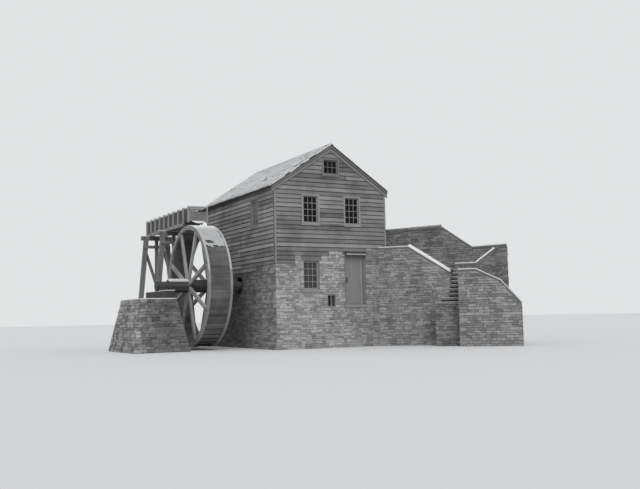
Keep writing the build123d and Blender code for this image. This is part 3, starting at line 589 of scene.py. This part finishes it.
def loose_parts(name, turn=0.0):
    """The boxes of the separate solids in a CAD piece, measured in a plan turned by an angle."""
    copy = copy_of(node[name])
    bpy.ops.object.mode_set(mode="EDIT")
    bpy.ops.mesh.select_all(action="SELECT")
    bpy.ops.mesh.separate(type="LOOSE")
    bpy.ops.object.mode_set(mode="OBJECT")
    c, s = math.cos(turn), math.sin(turn)
    found = []
    for piece in list(bpy.context.selected_objects):
        places = [v.co for v in piece.data.vertices]
        places = [Vector((p.x * c + p.y * s, p.y * c - p.x * s, p.z)) for p in places]
        found.append([Vector([pick(p[k] for p in places) for k in range(3)]) for pick in (min, max)])
        bpy.data.objects.remove(piece)
    return sorted(found, key=lambda box: box[1].z)


def joined(pieces, turn=0.0):
    """Some pieces joined to one, and turned about the upright through the origin."""
    take(*pieces)
    bpy.ops.object.join()
    piece = bpy.context.object
    piece.rotation_euler.z = turn
    bpy.ops.object.transform_apply(location=True, rotation=True, scale=True)
    return piece


walls_turn = math.radians(-45)
nosing = 0.045
slab = 0.09
slab_proud = 0.004
slab_easing = 0.006
for name, climbs_from_front in (("lower_steps", True), ("upper_steps", False)):
    slabs = []
    for low, high in loose_parts(name, walls_turn):
        low.z = high.z - slab
        high.z += slab_proud
        if climbs_from_front:
            low.y -= nosing
        else:
            high.x += nosing
        slabs.append(eased(cube(low, high), slab_easing))
    treads = settle(joined(slabs, walls_turn), name + "_treads", tread)
    snow_on(name + "_snow", treads, 0.015, steep=0.95)

# Timber storey. Rough-sawn clapboards hang in lapped courses of seven inches on the framed walls,
# bare and silvered, no two the same grey. They stand off at the butt and end in corner boards.
board_course = 0.1785
board_line = 3.585
board_butt = 0.026
board_head = 0.003
board_length = 3.1
board_gap = 0.003


def board_block(cuts):
    """One board, cut across into lengths."""
    piece = cube((0, -1, 0), (1, 0, 1))
    bpy.ops.object.mode_set(mode="EDIT")
    for k in range(1, cuts):
        bpy.ops.mesh.select_all(action="SELECT")
        bpy.ops.mesh.bisect(plane_co=(k / cuts, 0, 0), plane_no=(1, 0, 0))
    bpy.ops.object.mode_set(mode="OBJECT")
    return read_block(piece)


boards = [board_block(4)]


def clapboards(name, names, outward, finish, seed):
    """Boards over one timber wall, cut round its windows and up its gable."""
    draw = random.Random(seed)
    face = surface_of(names, outward)
    low, high = face["levels"][0], face["levels"][-1]
    first = math.floor((low - board_line) / board_course)
    last = math.ceil((high - board_line) / board_course)
    cells, depths, heights = [], [], []
    for k in range(first, last):
        z0 = board_line + k * board_course
        z1 = z0 + board_course
        inner = [z for z in face["levels"] if z0 + 0.01 < z < z1 - 0.01]
        cuts = [max(z0, low)] + inner + [min(z1, high)]
        state = draw.getstate()
        for foot, head in zip(cuts, cuts[1:]):
            draw.setstate(state)
            laid = courses(face, [(foot, head)], board_length, 0.4, board_gap, draw)
            share = [(foot - z0) / board_course, (head - z0) / board_course]
            cells += laid
            depths += [[board_butt + (board_head - board_butt) * s for s in share]] * len(laid)
            heights += [share] * len(laid)
    outs = [face["out"]] * len(cells)
    piece = lay(boards, cells, outs, depths, heights, jitter=0.003, seed=seed)
    return settle(piece, name, finish)


# Weathered softwood, unpainted: silver grey and matt, its grain running along the board, with
# painted shade under the butt of the next one.
along_x, along_y = (650, 33, 22), (33, 650, 22)
gable_boards = weathered(
    "silvered clapboard", "#4f4f4f", "#8c8c8c", along_x, pieces=0.7, patch=0.5, lap_shade=0.85
)
side_boards = weathered(
    "silvered side clapboard", "#5a5a5a", "#9a9a9a", along_y, pieces=0.7, patch=0.5, lap_shade=0.85
)
gables = ["front_gable", "back_gable"]
clapboards("front_clapboards", ["front_gable"], (0, -1, 0), gable_boards, 41)
clapboards("back_clapboards", ["back_gable"], (0, 1, 0), gable_boards, 42)
clapboards("left_clapboards", ["left_timber_wall"] + gables, (-1, 0, 0), side_boards, 43)
clapboards("right_clapboards", ["right_timber_wall"] + gables, (1, 0, 0), side_boards, 44)
# Rough sheathing behind the clapboards and inside the house: dull and in shade.
sheathing = weathered("shaded sheathing", "#3a3a3a", "#565656", (125, 125, 125))
dress(sheathing, *gables, "left_timber_wall", "right_timber_wall")

# Corner boards, two planed boards nailed round each corner of the timber storey to close the ends
# of the clapboards. They stand a little prouder than these, and run from the stonework to the eave.
corner_width = 0.045
corner_proud = 0.028
corner_gap = 0.001
corner_foot, stepped_foot = 4.11, 3.42
eave_level = 6.53
low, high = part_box("front_gable")
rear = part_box("back_gable")[1].y
# Planed softwood, silvered: pale to the front, and dark on the face that looks to the wheel, with damp and
# painted shade.
wheel_side = low.x - corner_proud
wheel_face_shade_and_damp = (0, wheel_side + 0.003, wheel_side + 0.001, 0.7, damp_and_shade)
corner_wood = weathered(
    "silvered corner board", "#686868", "#8c8c8c", (50, 50, 500), pieces=0.2, bump=0.002, fade=wheel_face_shade_and_damp
)
corners = []
for x, sx in ((low.x, -1), (high.x, 1)):
    for y, sy in ((low.y, -1), (rear, 1)):
        foot = stepped_foot if sx < 0 and sy < 0 else corner_foot
        outer = x + sx * corner_proud, y + sy * corner_proud
        end_board = (x - sx * corner_width, outer[0]), (y, outer[1])
        side_board = (x, outer[0]), (y - sy * corner_width, y - sy * corner_gap)
        for a, b in (end_board, side_board):
            corners.append(cube((min(a), min(b), foot), (max(a), max(b), eave_level)))
settle(joined(corners), "corner_boards", corner_wood)

# Roof. Split wood shingles in courses of about 130 mm, thick at the butt, over both slopes, with
# a board each side of the ridge. All lie under a thin crust of snow that the butts show through.
shingle_course = 0.13
shingle_width = 0.16
shingle_gap = 0.002
shingle_butt = 0.014
shingle_head = 0.006
ridge_board = 0.14
ridge_butt, ridge_head = 0.035, 0.03
roof_slope = math.tan(math.radians(33.75))
flat_boards = [board_block(1)]
# Split shingles, dry and grey, dusted with snow. Their cut ends at the eave are dark and shaded.
shingle_grain = (80, 80, 80)
snowy_shingle = weathered(
    "snow-dusted split shingle", "#444444", "#707070", shingle_grain, pieces=0.6, snow=0.22
)
roof_edge = weathered("shaded shingle ends", "#181818", "#2c2c2c", shingle_grain)
dress(roof_edge, "roof_left", "roof_right")
ridge_boards = []
for side, name in ((-1, "roof_left"), (1, "roof_right")):
    draw = random.Random(50 + side)
    face = surface_of([name], (side * roof_slope, 0, 1))
    low, high = face["levels"][0], face["levels"][-1]
    count = round((high - low) / shingle_course)
    rows = [(low + (high - low) * k / count, low + (high - low) * (k + 1) / count) for k in range(count)]
    cells = courses(face, rows, shingle_width, 0.4, shingle_gap, draw)
    depths = [[shingle_butt * draw.uniform(0.8, 1.25), shingle_head] for _ in cells]
    piece = lay(flat_boards, cells, [face["out"]] * len(cells), depths, jitter=0.0015, seed=51)
    settle(piece, name + "_shingles", snowy_shingle)
    a, b = face["x"]
    edge = high - ridge_board
    strip = [face["point"](x, z) for x, z in ((a, edge), (b, edge), (b, high), (a, high))]
    ridge_boards.append(lay(flat_boards, [strip], [face["out"]], [[ridge_butt, ridge_head]]))
settle(joined(ridge_boards), "ridge_boards", snowy_shingle)

# Snow on the roof: a crust on both slopes, and lumps that hang over the eave and along the front
# rake, where it has slid and broken off.
roof_front = -0.3
thin_strip = 1.1


def blanket(centre):
    """True where the roof's snow holds. It has slid and thinned along the front rake."""
    near_rake = max(0.0, 1.0 - (centre.y - roof_front) / thin_strip)
    return noise.noise(centre * 2.3) + 0.5 * noise.noise(centre * 6.1) < 0.38 - 0.7 * near_rake


# Thin roof snow: white where it is thick enough, and grey in streaks where the shingles show.
roof_crust = weathered(
    "thin roof snow", "#5c5d5e", "#e6e7e8", (140, 450, 140), rough=0.9, bump=0.004, patch=0.2
)
for name in ("roof_left", "roof_right"):
    snow_on(name + "_snow", node[name], 0.04, where=blanket, step=0.11, finish=roof_crust)


def lump_block():
    """A rounded lump of snow, a little longer than its place."""
    piece = cube((-0.07, -1, 0), (1.07, 1, 1))
    return read_block(eased(piece, 0.18, segments=2, knock=0.07, seed=3))


low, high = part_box("roof_left")
run = high.x - low.x
roof_depth = high.z - low.z - run * roof_slope
eave_top = Vector((low.x, high.y, low.z + roof_depth))
rake_foot = Vector((low.x, low.y, eave_top.z))
rake_head = Vector((high.x, low.y, high.z))
along_eave = (eave_top, rake_foot, (-1, 0, 0), 0.0, (0.04, 0.065))
along_rake = (rake_foot, rake_head, (0, -1, 0), 0.06, (0.005, 0.05))
brow = UP * 0.03
draw = random.Random(58)
cells, outs = [], []
for start, end, outward, gap, droops in (along_eave, along_rake):
    length = (end - start).length
    near = 0.02
    while near < length - 0.1:
        far = min(near + draw.uniform(0.12, 0.5), length)
        a, b = start.lerp(end, near / length), start.lerp(end, far / length)
        droop = UP * draw.uniform(*droops)
        cells.append([a - droop, b - droop, b + brow, a + brow])
        outs.append(Vector(outward))
        near = far + draw.uniform(0, gap)
edge_snow = lay([lump_block()], cells, outs, [[0.03, 0.035]] * len(cells), jitter=0.01, seed=59)
settle(edge_snow, "roof_edge_snow", snow)

# Trim: rake and verge boards, window frames and sashes, the vent, the door's frame, lintels and
# hood, all nailed or pegged to the framing. Beside it the inner floors, which show through openings.

# Planed softwood, its paint long gone: matt, and a little paler than the clapboards. It is darker
# round the attic window, with painted shade under the rake, and the door's frame is rubbed and grey.
attic_rake_shade = (2, 6.9, 7.0, 0.4, damp_and_shade)
trim_grain = (125, 125, 70)
trim = weathered("bare planed trim", "#757575", "#939393", trim_grain, bump=0.002, fade=attic_rake_shade)
side_trim = weathered("shaded planed trim", "#646464", "#7c7c7c", trim_grain, bump=0.002)
jamb = weathered("worn door frame", "#5c5c5c", "#7a7a7a", (50, 50, 330), bump=0.002)
dress(trim, "front_window_frames", "window_sashes")
dress(side_trim, "rake_boards", "side_window_frames", "vent_frame")
dress(jamb, "door_frame")
# Oak hewn with an axe: nearly black where it is wet, silvered in the lintels, its grain along X.
oak_grain = (250, 50, 50)
hewn = weathered("hewn oak", "#262626", "#404040", oak_grain)
lintel_oak = weathered("silvered lintel oak", "#5a5a5a", "#747474", oak_grain)
dress(hewn, "door_hood", "bearing_beam", "bearing_blocks")
dress(lintel_oak, "front_lintels")
# Softwood floor boards, trodden and dusty: dull, with a long grain.
floor_boards = weathered("worn floor boards", "#4b4b4b", "#727272", (50, 650, 50))
dress(floor_boards, "ground_floor", "timber_floors")
verge_height = UP * 0.05
verge_stand = 0.012
low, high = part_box("roof_left")
run = high.x - low.x
cells, outs = [], []
for y, sy in ((low.y, -1), (high.y, 1)):
    for sx in (-1, 1):
        foot = Vector((sx * run, y, low.z))
        head = Vector((0, y, low.z + run * roof_slope))
        a, b = (foot, head) if sx == sy else (head, foot)
        cells.append([a, b, b + verge_height, a + verge_height])
        outs.append(Vector((0, sy, 0)))
verge = lay(flat_boards, cells, outs, [[verge_stand] * 2] * len(cells))
settle(verge, "verge_boards", side_trim)
snow_on("beam_snow", node["bearing_beam"], 0.03)
# Oak pale with rime: a drip board under the front edge of the hood.
frosted = weathered("frosted drip board", "#8a8a8a", "#b0b0b0", oak_grain)
drip_drop, drip_board, drip_inset = 0.05, 0.02, 0.01
low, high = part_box("door_hood")
drip_low = (low.x + drip_inset, low.y, low.z - drip_drop)
drip_high = (high.x - drip_inset, low.y + drip_board, low.z + 0.002)
settle(cube(drip_low, drip_high), "hood_drip_board", frosted)

# Window glass and glazing bars. The panes are old drawn glass in slim softwood bars, three across
# and four up, or two up in the attic, puttied into the sashes.

# Drawn glass over dark rooms: opaque and nearly black, painted shade for the rooms behind it, with a
# soft sheen and a slow ripple. It is dusty downstairs and frosted on the wheel's side, which a film of grey
# gives.
pane = bpy.data.materials.new("old window glass")
pane.use_nodes = True
tree = pane.node_tree
tree.nodes.clear()
ripple_size = 165
dusty = (2, 3.9, 3.8, "#3e3e3e")
frosty = (0, -2.3, -2.4, "#5a5a5a")
place = add(tree, "ShaderNodeTexCoord").outputs["Object"]
ripple = add(tree, "ShaderNodeTexNoise", {"Vector": place, "Scale": 1000 / ripple_size, "Detail": 2.0})
# Near-black painted shade for the dark rooms, rippled.
inputs = {0: ripple.outputs[0], 6: linear("#080808"), 7: linear("#141414")}
shade = add(tree, "ShaderNodeMix", inputs, data_type="RGBA")
axes = add(tree, "ShaderNodeSeparateXYZ", {0: place})
for axis, start, end, film in (dusty, frosty):
    share = add(tree, "ShaderNodeMapRange", {0: axes.outputs[axis], 1: start, 2: end, 3: 0.0, 4: 1.0})
    inputs = {0: share.outputs[0], 6: shade.outputs[2], 7: linear(film)}
    shade = add(tree, "ShaderNodeMix", inputs, data_type="RGBA")
relief = add(tree, "ShaderNodeBump", {"Height": ripple.outputs[0], "Strength": 0.3, "Distance": 0.002})
inputs = {"Base Color": shade.outputs[2], "Roughness": 0.15, "Specular IOR Level": 0.12}
glass = add(tree, "ShaderNodeBsdfPrincipled", {**inputs, "Normal": relief.outputs[0]})
add(tree, "ShaderNodeOutputMaterial", {0: glass.outputs[0]})
dress(pane, "window_glass")
bar = 0.02
bar_depth = 0.026
crossing_back = 0.001
panes_across = 3
pane_height = 0.24
bars = []
for low, high in loose_parts("window_glass"):
    across = 0 if high.x - low.x > high.y - low.y else 1
    through = 1 - across
    middle = (low + high) / 2
    panes_up = round((high.z - low.z + bar) / (pane_height + bar))
    uprights = [(across, panes_across, k, 0.0) for k in range(1, panes_across)]
    crossings = [(2, panes_up, k, crossing_back) for k in range(1, panes_up)]
    for line, parts, number, back in uprights + crossings:
        a, b = low.copy(), high.copy()
        half = bar_depth / 2 - back
        a[through], b[through] = middle[through] - half, middle[through] + half
        centre = low[line] + (high[line] - low[line] + bar) * number / parts - bar / 2
        a[line], b[line] = centre - bar / 2, centre + bar / 2
        bars.append(cube(a, b))
settle(joined(bars), "glazing_bars", trim)

# Front door: upright planks with their edges eased, nailed to ledges and hung on wrought iron. Its
# nails, latch and strap hinges were made by a smith. The upper door is of the same wood.

# Softwood planks, bare and dry: matt grey, with a long upright grain and a tone for each plank.
door_wood = weathered("bare door planks", "#6c6c6c", "#868686", (40, 40, 500), pieces=0.35, bump=0.002)
# Wrought iron under a skin of rust, which hides the metal: nearly black, a little smoother.
iron = weathered("rusted wrought iron", "#222222", "#383838", (25, 25, 25), rough=0.6, bump=0.001)
plank_count = 7
plank_gap = 0.001
plank_easing = 0.004
low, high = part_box("door_leaf")
plank = (high.x - low.x) / plank_count
planks = []
for k in range(plank_count):
    start = low.x + k * plank
    edge = cube((start + plank_gap, low.y, low.z), (start + plank - plank_gap, high.y, high.z))
    planks.append(eased(edge, plank_easing))
leaf = settle(joined(planks), "door_planks", door_wood, "door")
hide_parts("door_leaf")
dress(door_wood, "upper_door")


def head_block(sides):
    """The head of a nail or bolt, its rim eased, in the unit cube that lay copies."""
    take()
    bpy.ops.mesh.primitive_cylinder_add(
        vertices=sides, radius=0.5, depth=1, location=(0.5, -0.5, 0.5), rotation=(math.radians(90), 0, 0)
    )
    piece = bpy.context.object
    bpy.ops.object.transform_apply(location=True, rotation=True, scale=True)
    drop_faces(piece, lambda face: face.normal.y > 0.9)
    pick_faces(piece, lambda face: face.normal.y < -0.9)
    bpy.ops.mesh.inset(thickness=0.15)
    bpy.ops.transform.translate(value=(0, -0.25, 0))
    bpy.ops.object.mode_set(mode="OBJECT")
    return read_block(piece)


heads = [head_block(8)]


def fasteners(name, places, outward, size, stand, body="building"):
    """Nail or bolt heads at some points of a face."""
    outward = Vector(outward)
    across = outward.orthogonal().normalized() * size / 2
    upward = outward.cross(across)
    cells = []
    for place in places:
        left, right = place - across, place + across
        cells.append([left - upward, right - upward, right + upward, left + upward])
    piece = lay(heads, cells, [outward] * len(cells), [[stand, stand]] * len(cells))
    return settle(piece, name, iron, body)


nail_rows = (2.0, 2.75, 3.5)
nail_pair = ((0.28, 0.03), (0.72, -0.03))
nails = []
for k in range(plank_count):
    for row in nail_rows:
        for share, rise in nail_pair:
            nails.append(Vector((low.x + (k + share) * plank, low.y - 0.001, row + rise)))
fasteners("door_nails", nails, (0, -1, 0), 0.014, 0.004, "door")
dress(iron, "door_latch", "door_straps", "door_pintles", "axle_bands")

# Water wheel. Oak, sawn and bolted: two shrouds on sixteen arms, forty-eight buckets between them
# with fronts of two planks each, and an axle hewn to eight sides. Snow lies on top of the axle, and
# turns with it.

# Oak, by how wet it stays: dry and pale in the shrouds and arms, patchy from the spray, dark and
# soaked in the buckets and the sole, and nearly black in the axle.
shroud_grain = (165, 165, 165)
dry_oak = weathered("dry shroud oak", "#6a6a6a", "#929292", shroud_grain, patch=0.6)
arm_oak = weathered("dry arm oak", "#6e6e6e", "#a8a8a8", shroud_grain, pieces=0.5, patch=0.6)
wet_oak = weathered("wet bucket boards", "#444444", "#6e6e6e", (330, 33, 33), pieces=0.6, patch=0.6)
axle_oak = weathered("hewn axle oak", "#333333", "#4c4c4c", (500, 50, 50))
dress(dry_oak, "wheel_shrouds")
dress(arm_oak, "wheel_arms")
dress(wet_oak, "sole_boards", "bucket_bottoms")
dress(axle_oak, "wheel_axle")
low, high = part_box("wheel_shrouds")
hub = (low + high) / 2
rim = (high.z - low.z) / 2
neck_end = -5.84


def clear_of_wheel(centre):
    """True on the axle between its outer neck and the wheel."""
    return neck_end < centre.x < low.x


snow_on(
    "axle_snow", node["wheel_axle"], 0.04, "wheel", steep=0.85, where=clear_of_wheel, step=0.1
)
bucket_count = 48
bucket_first = 25
bucket_elbow = (-0.01, rim - 0.095)
lip_radius = rim - 0.03
lip_turn = math.radians(8.5)
bucket_lip = (lip_radius * math.sin(lip_turn), lip_radius * math.cos(lip_turn))
bucket_board = 0.02
front_planks = ((0.0, 0.49), (0.51, 1.0))
shroud = 0.1
felloes = 8


def around(place, angle, x):
    """A point on the wheel, from one at its top, turned about the axle by degrees."""
    turn = math.radians(angle)
    y, z = place
    turned_y = y * math.cos(turn) - z * math.sin(turn)
    turned_z = y * math.sin(turn) + z * math.cos(turn)
    return Vector((x, hub.y + turned_y, hub.z + turned_z))


cells, outs = [], []
for k in range(bucket_count):
    angle = bucket_first + k * 360 / bucket_count
    inner = [around(bucket_elbow, angle, x) for x in (low.x + shroud, high.x - shroud)]
    outer = [around(bucket_lip, angle, x) for x in (low.x + shroud, high.x - shroud)]
    out = (inner[1] - inner[0]).cross(outer[0] - inner[0]).normalized()
    if out.dot(inner[0] - Vector((inner[0].x, hub.y, hub.z))) < 0:
        out = -out
    for near, far in front_planks:
        corners = [inner[0].lerp(outer[0], near), inner[1].lerp(outer[1], near)]
        cells.append(corners + [inner[1].lerp(outer[1], far), inner[0].lerp(outer[0], far)])
        outs.append(out)
bucket_skin = lay(boards, cells, outs, [[bucket_board] * 2] * len(cells), seed=60)
take(bucket_skin)
bpy.ops.object.mode_set(mode="EDIT")
bpy.ops.mesh.select_all(action="SELECT")
bpy.ops.mesh.normals_make_consistent(inside=False)
bpy.ops.object.mode_set(mode="OBJECT")
settle(bucket_skin, "bucket_boards", wet_oak, "wheel")
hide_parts("bucket_fronts")
bolt_circles = (rim - 0.28, rim - 0.13, rim - 0.06)
for side, end, x in ((-1, "near", low.x), (1, "far", high.x)):
    bolts = []
    for k in range(felloes):
        for radius in bolt_circles:
            bolts.append(around((0, radius), bucket_first + k * 360 / felloes, x))
    fasteners("wheel_bolts_" + end, bolts, (side, 0, 0), 0.045, 0.016, "wheel")

# Snow on the rim. It is frozen over the crown of the wheel, as a crust that follows the curve. It
# reaches further on the shrouds than between them, and has holes where it has thawed on the front
# and cracked beside the far shroud.
crust_low = rim - 0.02
crust_depth = 0.032
crust_inset = 0.01
crust_front = math.radians(78)
crust_back = math.radians(64)
crust_reach = math.radians(53)
back_share = 0.8
crust_strips = 24
crust_steps = 110
take()
bpy.ops.mesh.primitive_plane_add(size=1, location=((low.x + high.x) / 2, hub.y, hub.z + crust_low))
crust = bpy.context.object
bpy.ops.transform.resize(value=(high.x - low.x - crust_inset, 0, 1))
bpy.ops.object.transform_apply(location=True, rotation=True, scale=True)
bpy.ops.object.mode_set(mode="EDIT")
bpy.ops.mesh.select_all(action="SELECT")
bpy.ops.mesh.remove_doubles(threshold=0.001)
bpy.ops.mesh.subdivide(number_cuts=crust_strips - 1)
bpy.ops.transform.rotate(value=crust_back, orient_axis="X", center_override=hub)
bpy.ops.mesh.spin(steps=crust_steps, angle=-crust_front - crust_back, center=hub, axis=(1, 0, 0))
bpy.ops.mesh.select_all(action="SELECT")
bpy.ops.mesh.remove_doubles(threshold=0.0005)
bpy.ops.mesh.normals_make_consistent(inside=False)
bpy.ops.object.mode_set(mode="OBJECT")
hole_share, hole_width = 0.3, 0.16
hole_angle, hole_height = math.radians(47.5), math.radians(2.0)
crack_start, crack_end = 0.87, 0.91
crack_top = math.radians(28)


def melted(face):
    """True past the crust's ragged lower edges and in its holes. A face's place on the crust is its
    angle round the wheel, from the top to the front, and its share of the width."""
    place = face.center - hub
    angle = math.atan2(-place.y, place.z)
    share = (face.center.x - low.x) / (high.x - low.x)
    on_shroud = min(share, 1 - share) * (high.x - low.x) < shroud
    wander = 0.05 * noise.noise(face.center * 3.0) + 0.06 * noise.noise(face.center * 13.0)
    reach = crust_reach * (1 + wander + (0.5 if on_shroud else 0))
    across = (share - hole_share) / hole_width
    down = (angle - hole_angle) / hole_height - 0.5 * across
    thawed = math.hypot(across, down) + 0.5 * noise.noise(face.center * 7.0) < 1
    by_far_shroud = crack_top < angle and crack_start < share < crack_end
    cracked = by_far_shroud and noise.noise(face.center * 9.0) > -0.05
    return thawed or cracked or not -back_share * reach < angle < reach


drop_faces(crust, melted)
bpy.ops.object.modifier_add(type="SOLIDIFY")
crust.modifiers[0].thickness = crust_depth
crust.modifiers[0].offset = 1
bpy.ops.object.modifier_apply(modifier=crust.modifiers[0].name)
bpy.ops.object.mode_set(mode="EDIT")
bpy.ops.mesh.select_all(action="SELECT")
bpy.ops.transform.vertex_random(offset=0.005, seed=62)
bpy.ops.object.mode_set(mode="OBJECT")
bpy.ops.object.modifier_add(type="SUBSURF")
bpy.ops.object.modifier_apply(modifier=crust.modifiers[0].name)
# Snow frozen by spray: smooth and icy grey, with a painted highlight that whitens its crest.
crest_highlight = (2, hub.z + rim - 0.25, hub.z + rim, 0.9, "#f6f7f8")
ice_ripple = (330, 330, 110)
rim_frost = weathered(
    "snow frozen to the rim", "#9c9d9e", "#b8b9ba", ice_ripple, rough=0.9, bump=0.002, patch=0.3, fade=crest_highlight
)
settle(crust, "rim_snow", rim_frost, "wheel")

# Flume and trestle. Rough-sawn boards in a frame of ribs and ties, on stringers and square braced
# posts, bolted and pegged. A curved board at its end spouts the water over the wheel, and a wedge
# of snow fills the spout.

# Sawn softwood: the thin frame is pale with painted light, the wide boards are dark with painted shade
# and the gate board is grey between them. The trestle has greyed, and the spout is black, wet and a little
# slick, and in painted shade.
# Dark grey painted shade on the wide boards.
flume_board = weathered("dark flume boards", "#303030", "#505050", (80, 650, 50))
end_board = weathered("grey gate board", "#585858", "#7c7c7c", (330, 80, 50))
# Pale grey painted light on the thin frame.
flume_frame = weathered("pale flume frame", "#727272", "#989898", (80, 80, 330), snow=0.2)
trestle_wood = weathered("sawn trestle timber", "#555555", "#7a7a7a", (70, 70, 500), snow=0.2)
# Near-black for the wet board and for painted shade under the spout.
wet_shaded_spout = weathered("wet and shaded spout board", "#161616", "#262626", (80, 80, 80), rough=0.6)
dress(flume_board, "flume_floor", "flume_sides")
dress(wet_shaded_spout, "flume_spout")
dress(end_board, "flume_end_board")
dress(flume_frame, "flume_posts", "flume_ties", "flume_stringers")
dress(trestle_wood, "trestle_posts", "trestle_caps", "trestle_braces")
flume_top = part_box("flume_sides")[1].z


def on_top_edge(centre):
    return centre.z > flume_top - 0.01


snow_on("flume_side_snow", node["flume_sides"], 0.03, where=on_top_edge)
snow_on("flume_tie_snow", node["flume_ties"], 0.03, steep=0.95)
snow_on("trestle_cap_snow", node["trestle_caps"], 0.035, steep=0.95)
bolt_inset = 0.1
bolts = []
for low, high in loose_parts("trestle_caps"):
    for x in (low.x + bolt_inset, high.x - bolt_inset):
        bolts.append(Vector((x, low.y, (low.z + high.z) / 2)))
fasteners("trestle_bolts", bolts, (0, -1, 0), 0.05, 0.018)
spout_half = 0.35
spout_sag = 0.115
spout_radius = (spout_half**2 + spout_sag**2) / (2 * spout_sag)
spout_board = 0.025
wedge_sunk = 0.003
wedge_length = 0.13
wedge_back = 0.045
low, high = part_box("flume_spout")
take()
bpy.ops.mesh.primitive_cylinder_add(
    vertices=160,
    radius=spout_radius - spout_board + wedge_sunk,
    depth=wedge_length,
    location=((low.x + high.x) / 2, low.y + wedge_back, low.z + spout_radius),
    rotation=(math.radians(90), 0, 0),
)
bpy.ops.object.transform_apply(location=True, rotation=True, scale=True)
bpy.ops.object.mode_set(mode="EDIT")
bpy.ops.mesh.select_all(action="SELECT")
lip = {"plane_co": (0, 0, low.z + spout_sag), "plane_no": (0, 0, 1)}
bpy.ops.mesh.bisect(use_fill=True, clear_outer=True, **lip)
bpy.ops.object.mode_set(mode="OBJECT")
settle(bpy.context.object, "spout_snow", drift)

# Studio: a pale matt floor, a plain pale backdrop, an even sky with a broad soft sun from the
# front, and the camera at the photograph's angle.
take()
bpy.ops.mesh.primitive_plane_add(size=400, location=(0, 0, -0.002))
floor = bpy.context.object
floor.name = "studio_floor"
ground = bpy.data.materials.new("studio floor")
ground.use_nodes = True
matt = ground.node_tree.nodes["Principled BSDF"]
matt.inputs["Base Color"].default_value = linear("#d2d3d4")
matt.inputs["Roughness"].default_value = 0.95
floor.data.materials.append(ground)

# The sky lights the mill evenly, and the camera sees a plain backdrop of another grey in its place.
world = bpy.data.worlds.new("studio")
bpy.context.scene.world = world
world.use_nodes = True
sky = world.node_tree
sky.nodes.clear()
view = add(sky, "ShaderNodeLightPath")
glossy = add(sky, "ShaderNodeMath", {0: view.outputs["Is Camera Ray"], 1: view.outputs["Is Glossy Ray"]})
through_glass = {0: glossy.outputs[0], 1: view.outputs["Is Transmission Ray"]}
seen = add(sky, "ShaderNodeMath", through_glass, use_clamp=True)
lit = add(sky, "ShaderNodeBackground", {"Color": linear("#f2f3f5"), "Strength": 0.75})
shown = add(sky, "ShaderNodeBackground", {"Color": linear("#e2e3e4"), "Strength": 1.0})
either = add(sky, "ShaderNodeMixShader", {0: seen.outputs[0], 1: lit.outputs[0], 2: shown.outputs[0]})
add(sky, "ShaderNodeOutputWorld", {0: either.outputs[0]})

sun_heading = Vector((0.35, 0.85, -0.75))
bpy.ops.object.light_add(type="SUN", location=(10, -20, 20))
sun = bpy.context.object
sun.name = "soft_key"
sun.data.energy = 1.6
sun.data.angle = math.radians(30)
sun.rotation_euler = sun_heading.to_track_quat("-Z", "Y").to_euler()

camera_place = Vector((-16.665, -29.671, 1.317))
camera_yaw = math.radians(28.671)
camera_pitch = math.radians(4.954)
camera_roll = math.radians(-1.190)
heading = Vector((math.sin(camera_yaw), math.cos(camera_yaw), 0))
forward = heading * math.cos(camera_pitch) + UP * math.sin(camera_pitch)
level = forward.cross(UP).normalized()
above = level.cross(forward)
right = level * math.cos(camera_roll) + above * math.sin(camera_roll)
top = above * math.cos(camera_roll) - level * math.sin(camera_roll)
bpy.ops.object.camera_add(location=camera_place)
camera = bpy.context.object
camera.name = "photograph_camera"
matrix = camera.matrix_world.copy()
for row in range(3):
    matrix[row][0] = right[row]
    matrix[row][1] = top[row]
    matrix[row][2] = -forward[row]
    matrix[row][3] = camera_place[row]
camera.matrix_world = matrix
camera.data.sensor_width = 36
camera.data.lens = 46.16
camera.data.clip_end = 500
bpy.context.scene.camera = camera
bpy.context.scene.view_settings.view_transform = "Standard"
